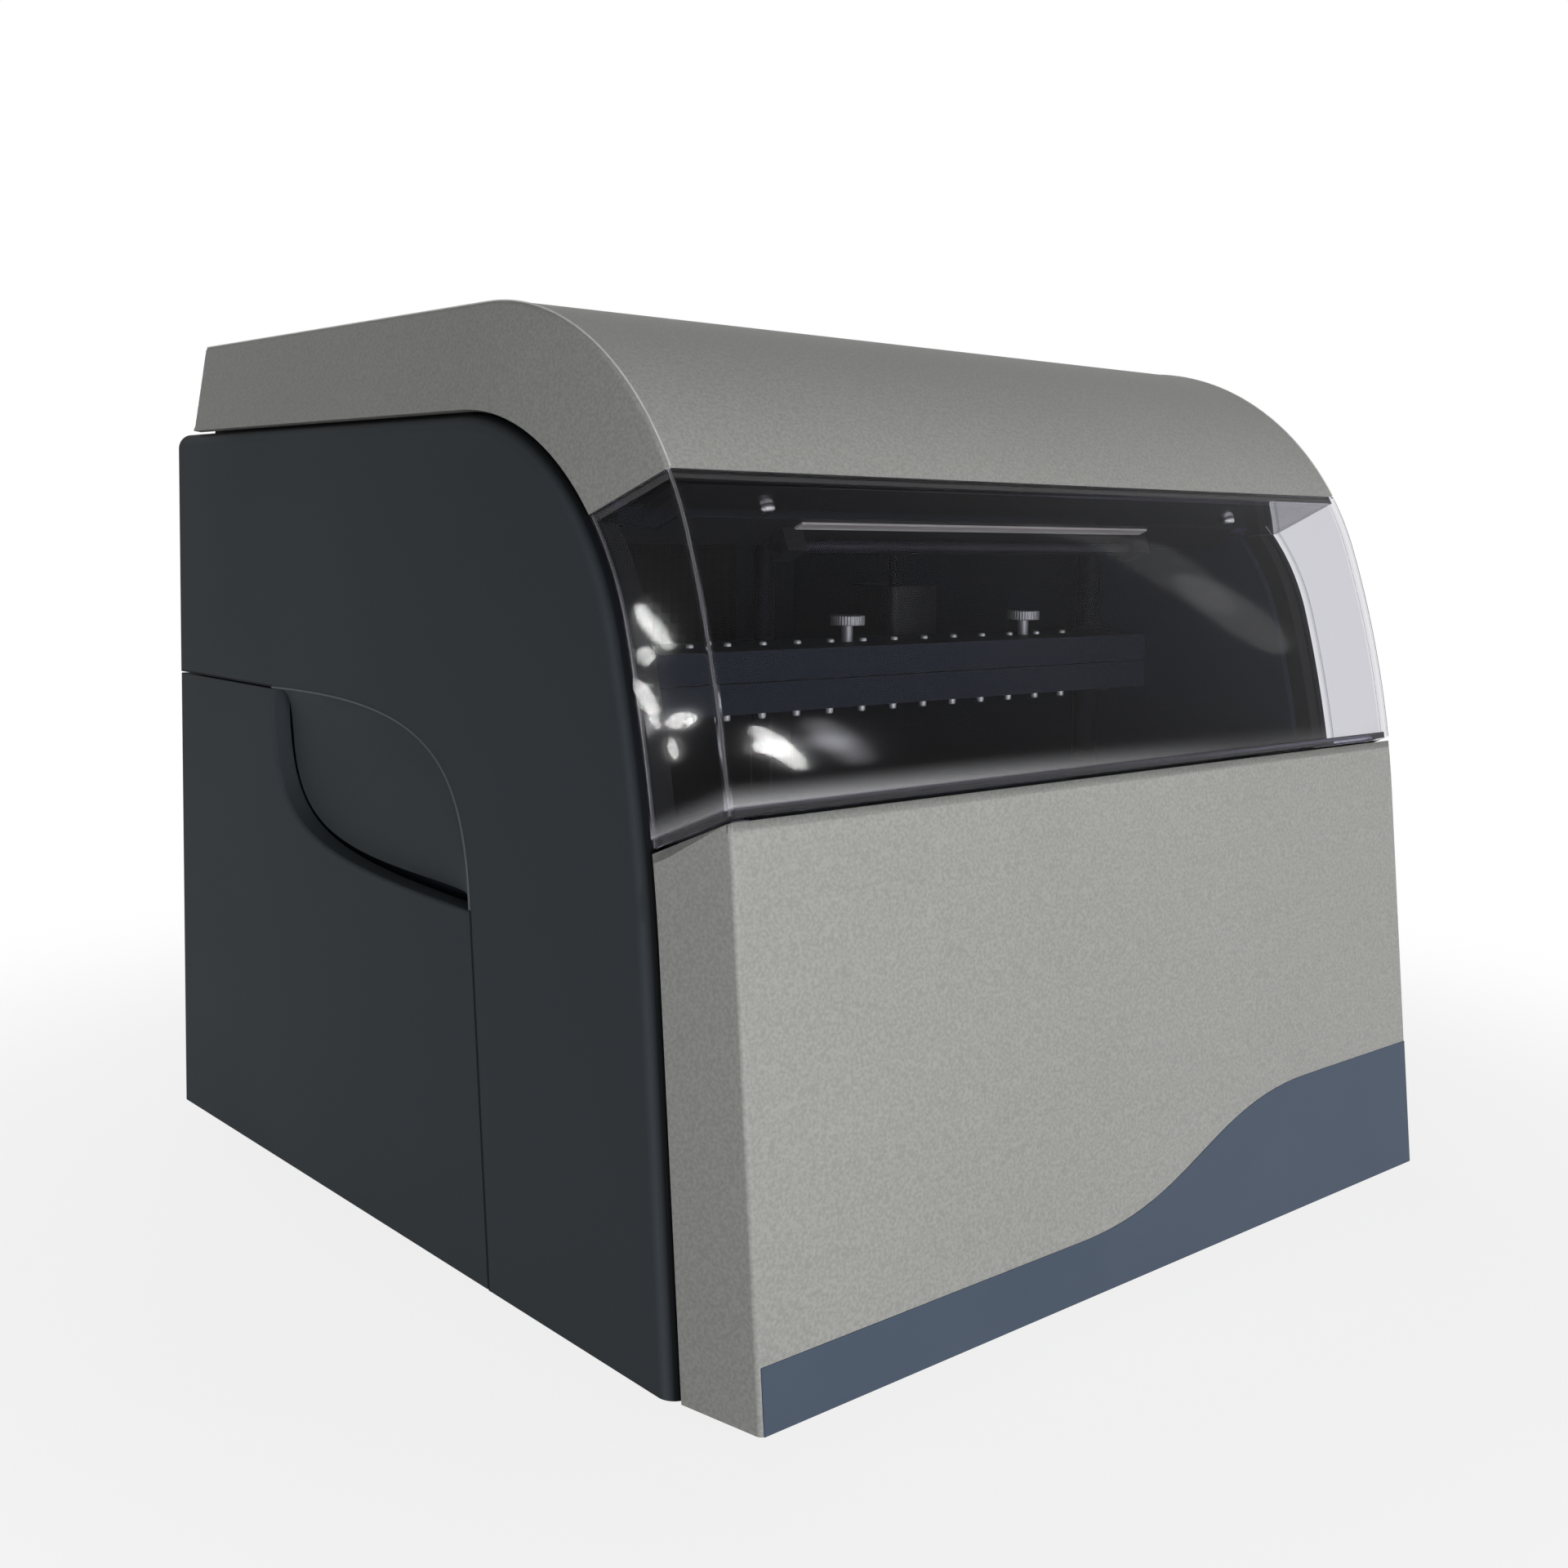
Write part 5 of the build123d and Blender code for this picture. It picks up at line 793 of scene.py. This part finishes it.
def fan_filter():
    """Foam dust filter over the fan's inner side, quilted by its moulding."""
    low, high = FILTER_X
    nothing_selected()
    bpy.ops.mesh.primitive_grid_add(x_subdivisions=QUILTS, y_subdivisions=QUILTS, size=high - low)
    pad = named(bpy.context.object, "fan_filter")
    edit(pad)
    bpy.ops.mesh.select_all(action="SELECT")
    bpy.ops.mesh.inset(thickness=QUILT_SEAM, use_individual=True)
    bpy.ops.transform.translate(value=(0, 0, QUILT_RISE))
    close(pad)
    modify(pad, "SOLIDIFY", thickness=FILTER_WALL, offset=-1)
    middle = Vector(((low + high) / 2, FILTER_Y, sum(FILTER_Z) / 2))
    pad.data.transform(Matrix.Translation(middle) @ Matrix.Rotation(pi / 2, 4, "X"))
    smooth(pad)
    coat(pad, "rubber")
    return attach(pad, "cabinet")


def scoop_rims():
    """The fine moulded line along the upper edge of each side's finger scoop, lighter than the panel as a
    painted highlight.
    """
    rims = []
    span = (SCOOP_BACK[0] - SCOOP_FRONT[0], SCOOP_BACK[1] - SCOOP_FRONT[1])
    handles = [(SCOOP_FRONT[0] + share[0] * span[0], SCOOP_FRONT[1] + share[1] * span[1])
               for share in SCOOP_HANDLES]
    for side in (-1, 1):
        nothing_selected()
        bpy.ops.curve.primitive_bezier_curve_add()
        rim = named(bpy.context.object, "scoop_rim")
        for point, at, handle in zip(rim.data.splines[0].bezier_points, (SCOOP_BACK, SCOOP_FRONT), handles):
            point.handle_left_type = point.handle_right_type = "FREE"
            point.co = point.handle_left = point.handle_right = (side * SCOOP_X, *at)
            if at is SCOOP_BACK:
                point.handle_right = (side * SCOOP_X, *handle)
            else:
                point.handle_left = (side * SCOOP_X, *handle)
        rim.data.resolution_u = SCOOP_STEPS
        rim.data.bevel_depth = SCOOP_RIM
        rim.data.bevel_resolution = 2
        rim.data.use_fill_caps = True
        bpy.ops.object.convert(target="MESH")
        rims.append(bpy.context.object)
    rim = joined(rims, "scoop_rims")
    smooth(rim)
    coat(rim, "anthracite_plastic", PAINTED_HIGHLIGHT_EDGE)
    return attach(rim, "cabinet")


def hood_seals():
    """Rubber seal on top of each side panel, inside the hood's rim, narrower towards its top."""
    spans = (HOOD_SEAL_X, HOOD_SEAL_Y, HOOD_SEAL_Z)
    x, y, z = (sum(ends) / 2 for ends in spans)
    seals = []
    for side in (-1, 1):
        seal = block((side * x, y, z), [ends[1] - ends[0] for ends in spans])
        edit(seal)
        pick(seal, "FACE", lambda at: all(p.z > z for p in at))
        bpy.ops.transform.resize(value=(HOOD_SEAL_TOP, 1, 1))
        seals.append(close(seal))
    seal = joined(seals, "hood_seals")
    modify(seal, "BEVEL", width=SEAL_ROUND, segments=3)
    smooth(seal)
    coat(seal, "rubber")
    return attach(seal, "cabinet")


def door_flap():
    """Rubber flap on the hood's rear wall that closes the gap above the back panel, clear of the hinges."""
    inner = HINGE_X - NOTCH_HALF
    outer = HINGE_X + NOTCH_HALF
    strips = ((-FLAP_END, -outer), (-inner, inner), (outer, FLAP_END))
    parts = []
    for low, high in strips:
        strip = block(((low + high) / 2, FLAP_Y, FLAP_Z), (high - low, FLAP_WALL, FLAP_HEIGHT))
        edit(strip)
        pick(strip, "VERT", lambda at: at[0].z < FLAP_Z)
        bpy.ops.transform.translate(value=(0, -FLAP_LEAN, 0))
        parts.append(close(strip))
    flap = joined(parts, "rear_flap")
    modify(flap, "BEVEL", width=EDGE_ROUND, segments=3)
    smooth(flap)
    coat(flap, "rubber")
    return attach(flap, "door")


def front_shell():
    skin = front_skin()
    shape_hood(skin)
    hood_crease_highlight(skin)
    shape_front(skin)
    shape_window(skin)
    work_on(skin)
    bpy.ops.object.delete()


# ---- the room ------------------------------------------------------------------------------------------
def make_camera():
    forward = Vector((sin(CAMERA_YAW) * cos(CAMERA_PITCH), cos(CAMERA_YAW) * cos(CAMERA_PITCH),
                      -sin(CAMERA_PITCH)))
    level = forward.cross(Vector((0, 0, 1))).normalized()
    upright = level.cross(forward)
    right = cos(CAMERA_ROLL) * level + sin(CAMERA_ROLL) * upright
    up = cos(CAMERA_ROLL) * upright - sin(CAMERA_ROLL) * level
    lens = bpy.data.cameras.new("camera")
    lens.sensor_width = SENSOR_MM
    lens.lens = LENS_MM
    lens.shift_x, lens.shift_y = LENS_SHIFT
    camera = bpy.data.objects.new("camera", lens)
    turn = Matrix((right, up, -forward)).transposed()
    camera.matrix_world = Matrix.Translation(CAMERA_PLACE) @ turn.to_4x4()
    bpy.context.scene.collection.objects.link(camera)
    bpy.context.scene.camera = camera


def seen_by_eye(tree):
    """One for rays from the camera, in mirrors and through glass, until they have met a matt surface."""
    rays = tree.nodes.new("ShaderNodeLightPath")

    def step(operation, one, other):
        made = tree.nodes.new("ShaderNodeMath")
        made.operation = operation
        made.use_clamp = True
        for socket, value in zip(made.inputs, (one, other)):
            if isinstance(value, bpy.types.NodeSocket):
                tree.links.new(value, socket)
            else:
                socket.default_value = value
        return made.outputs[0]

    clear = step("ADD", rays.outputs["Is Camera Ray"], rays.outputs["Is Transmission Ray"])
    clear = step("ADD", clear, rays.outputs["Is Glossy Ray"])
    return step("SUBTRACT", clear, rays.outputs["Diffuse Depth"])


def white_for_eyes(tree, plain, white, out):
    """Shows white to the camera, to mirrors and through glass, and plain to everything else."""
    mix = tree.nodes.new("ShaderNodeMixShader")
    tree.links.new(seen_by_eye(tree), mix.inputs[0])
    tree.links.new(plain, mix.inputs[1])
    tree.links.new(white, mix.inputs[2])
    tree.links.new(mix.outputs[0], out)


def make_world():
    world = bpy.data.worlds.new("room")
    world.use_nodes = True
    bpy.context.scene.world = world
    tree = world.node_tree
    plain = tree.nodes["Background"]
    plain.inputs[0].default_value = WORLD_TINT
    plain.inputs[1].default_value = WORLD_STRENGTH
    white = tree.nodes.new("ShaderNodeBackground")
    white.inputs[0].default_value = WHITE
    white.inputs[1].default_value = 1.0
    white_for_eyes(tree, plain.outputs[0], white.outputs[0], tree.nodes["World Output"].inputs[0])


def make_floor():
    nothing_selected()
    bpy.ops.mesh.primitive_plane_add(size=FLOOR_SIZE, location=(0, 0, 0))
    floor = bpy.context.object
    floor.name = "floor"
    look = Finish("pale_floor", Roughness=0.9, Specular_IOR_Level=0.1)
    look.shade(look.noise(FLOOR_MOTTLE), *FLOOR_TONES)
    distance = look.node("ShaderNodeVectorMath", Vector=look.place)
    distance.operation = "LENGTH"
    spread = look.node("ShaderNodeMapRange", Value=distance.outputs["Value"])
    spread.interpolation_type = "SMOOTHERSTEP"
    for socket, value in zip(list(spread.inputs)[1:5], FLOOR_REACH + FLOOR_SHARE):
        socket.default_value = value
    share = look.product(seen_by_eye(look.tree), spread.outputs[0])
    white = look.node("ShaderNodeEmission", Color=WHITE, Strength=1.0)
    mix = look.tree.nodes.new("ShaderNodeMixShader")
    look.feed(mix.inputs[0], share)
    look.feed(mix.inputs[1], look.shader.outputs[0])
    look.feed(mix.inputs[2], white.outputs[0])
    look.feed(look.output.inputs["Surface"], mix.outputs[0])
    floor.data.materials.append(look.material)


def hang_lamp(name, shape, size, power):
    """A flat lamp that glass does not show."""
    lamp = bpy.data.lights.new(name, "AREA")
    lamp.shape = shape
    lamp.size, lamp.size_y = size
    lamp.energy = power
    holder = bpy.data.objects.new(name, lamp)
    holder.visible_transmission = False
    bpy.context.scene.collection.objects.link(holder)
    return holder


def soft_light(name, place, target, size, power):
    holder = hang_lamp(name, "RECTANGLE", size, power)
    holder.location = place
    holder.rotation_euler = (Vector(target) - Vector(place)).to_track_quat("-Z", "Y").to_euler()


def glint(name, place, along, length, width, radiance):
    """A small bright lamp of the room, aimed at the window, with its long side along the given direction."""
    holder = hang_lamp(name, "ELLIPSE", (length, width), radiance * pi * pi / 4 * length * width)
    back = (Vector(place) - SILL).normalized()
    across = back.cross(Vector(along)).normalized()
    turn = Matrix((across.cross(back), across, back)).transposed()
    holder.matrix_world = Matrix.Translation(place) @ turn.to_4x4()
    holder.visible_camera = False


# Large lamps: name, place, what they are aimed at, size, watts.
SOFT_LIGHTS = (
    ("front_light", (-0.46, -1.62, 0.16), (0, 0, 0.12), (1.4, 0.4), 19.0),
    ("left_light", (-1.0, -0.9, 0.03), (-0.15, -0.05, 0.1), (0.8, 0.1), 0.55),
    ("top_light", (0.0, -0.1, 1.9), (0, 0, 0.2), (1.4, 1.4), 0.15),
    ("back_light", (0.4, 2.0, 0.35), (0, 0, 0.15), (1.0, 0.6), 16),
)
# Small lamps of the room that the window mirrors: place, long direction, length, width, brightness.
GLINTS = (
    ((-0.8255, 0.3148, 0.2273), (-0.18, -0.64, -0.75), 0.058, 0.012, 130),
    ((-0.8285, 0.3183, 0.2025), (-0.08, -0.80, -0.60), 0.016, 0.012, 110),
    ((-0.8290, 0.3150, 0.1670), (-0.06, -0.54, -0.84), 0.036, 0.011, 130),
    ((-0.8330, 0.3080, 0.1480), (-0.06, -0.54, -0.84), 0.018, 0.008, 110),
    ((-0.8355, 0.2823, 0.1464), (-0.11, -0.99, 0.05), 0.026, 0.013, 130),
    ((-0.8357, 0.2877, 0.1234), (-0.07, -0.43, -0.90), 0.020, 0.008, 110),
    ((0.6410, -1.0430, 0.3900), (0.35, -0.07, -0.93), 0.115, 0.024, 130),
    ((0.6350, -1.0470, 0.3920), (0.70, 0.19, -0.69), 0.045, 0.028, 130),
    ((1.2090, -0.8507, 0.7970), (0.46, -0.25, -0.85), 0.42, 0.07, 1.5),
    ((1.3014, -0.8951, 0.6159), (0.39, -0.17, -0.91), 0.26, 0.06, 2.2),
)

make_camera()
make_world()
make_floor()
for number, settings in enumerate(GLINTS):
    glint(f"room_lamp_{number + 1}", *settings)
for settings in SOFT_LIGHTS:
    soft_light(*settings)
bpy.context.scene.view_settings.view_transform = "Standard"

for node_name in frame["nodes"]:
    dress_node(node_name)
front_shell()
door_flap()
lamp_reflector()
fan_filter()
scoop_rims()
hood_seals()
for body, nodes in EDGES.items():
    for node_name, edge in nodes.items():
        refine(node_name, body, edge)
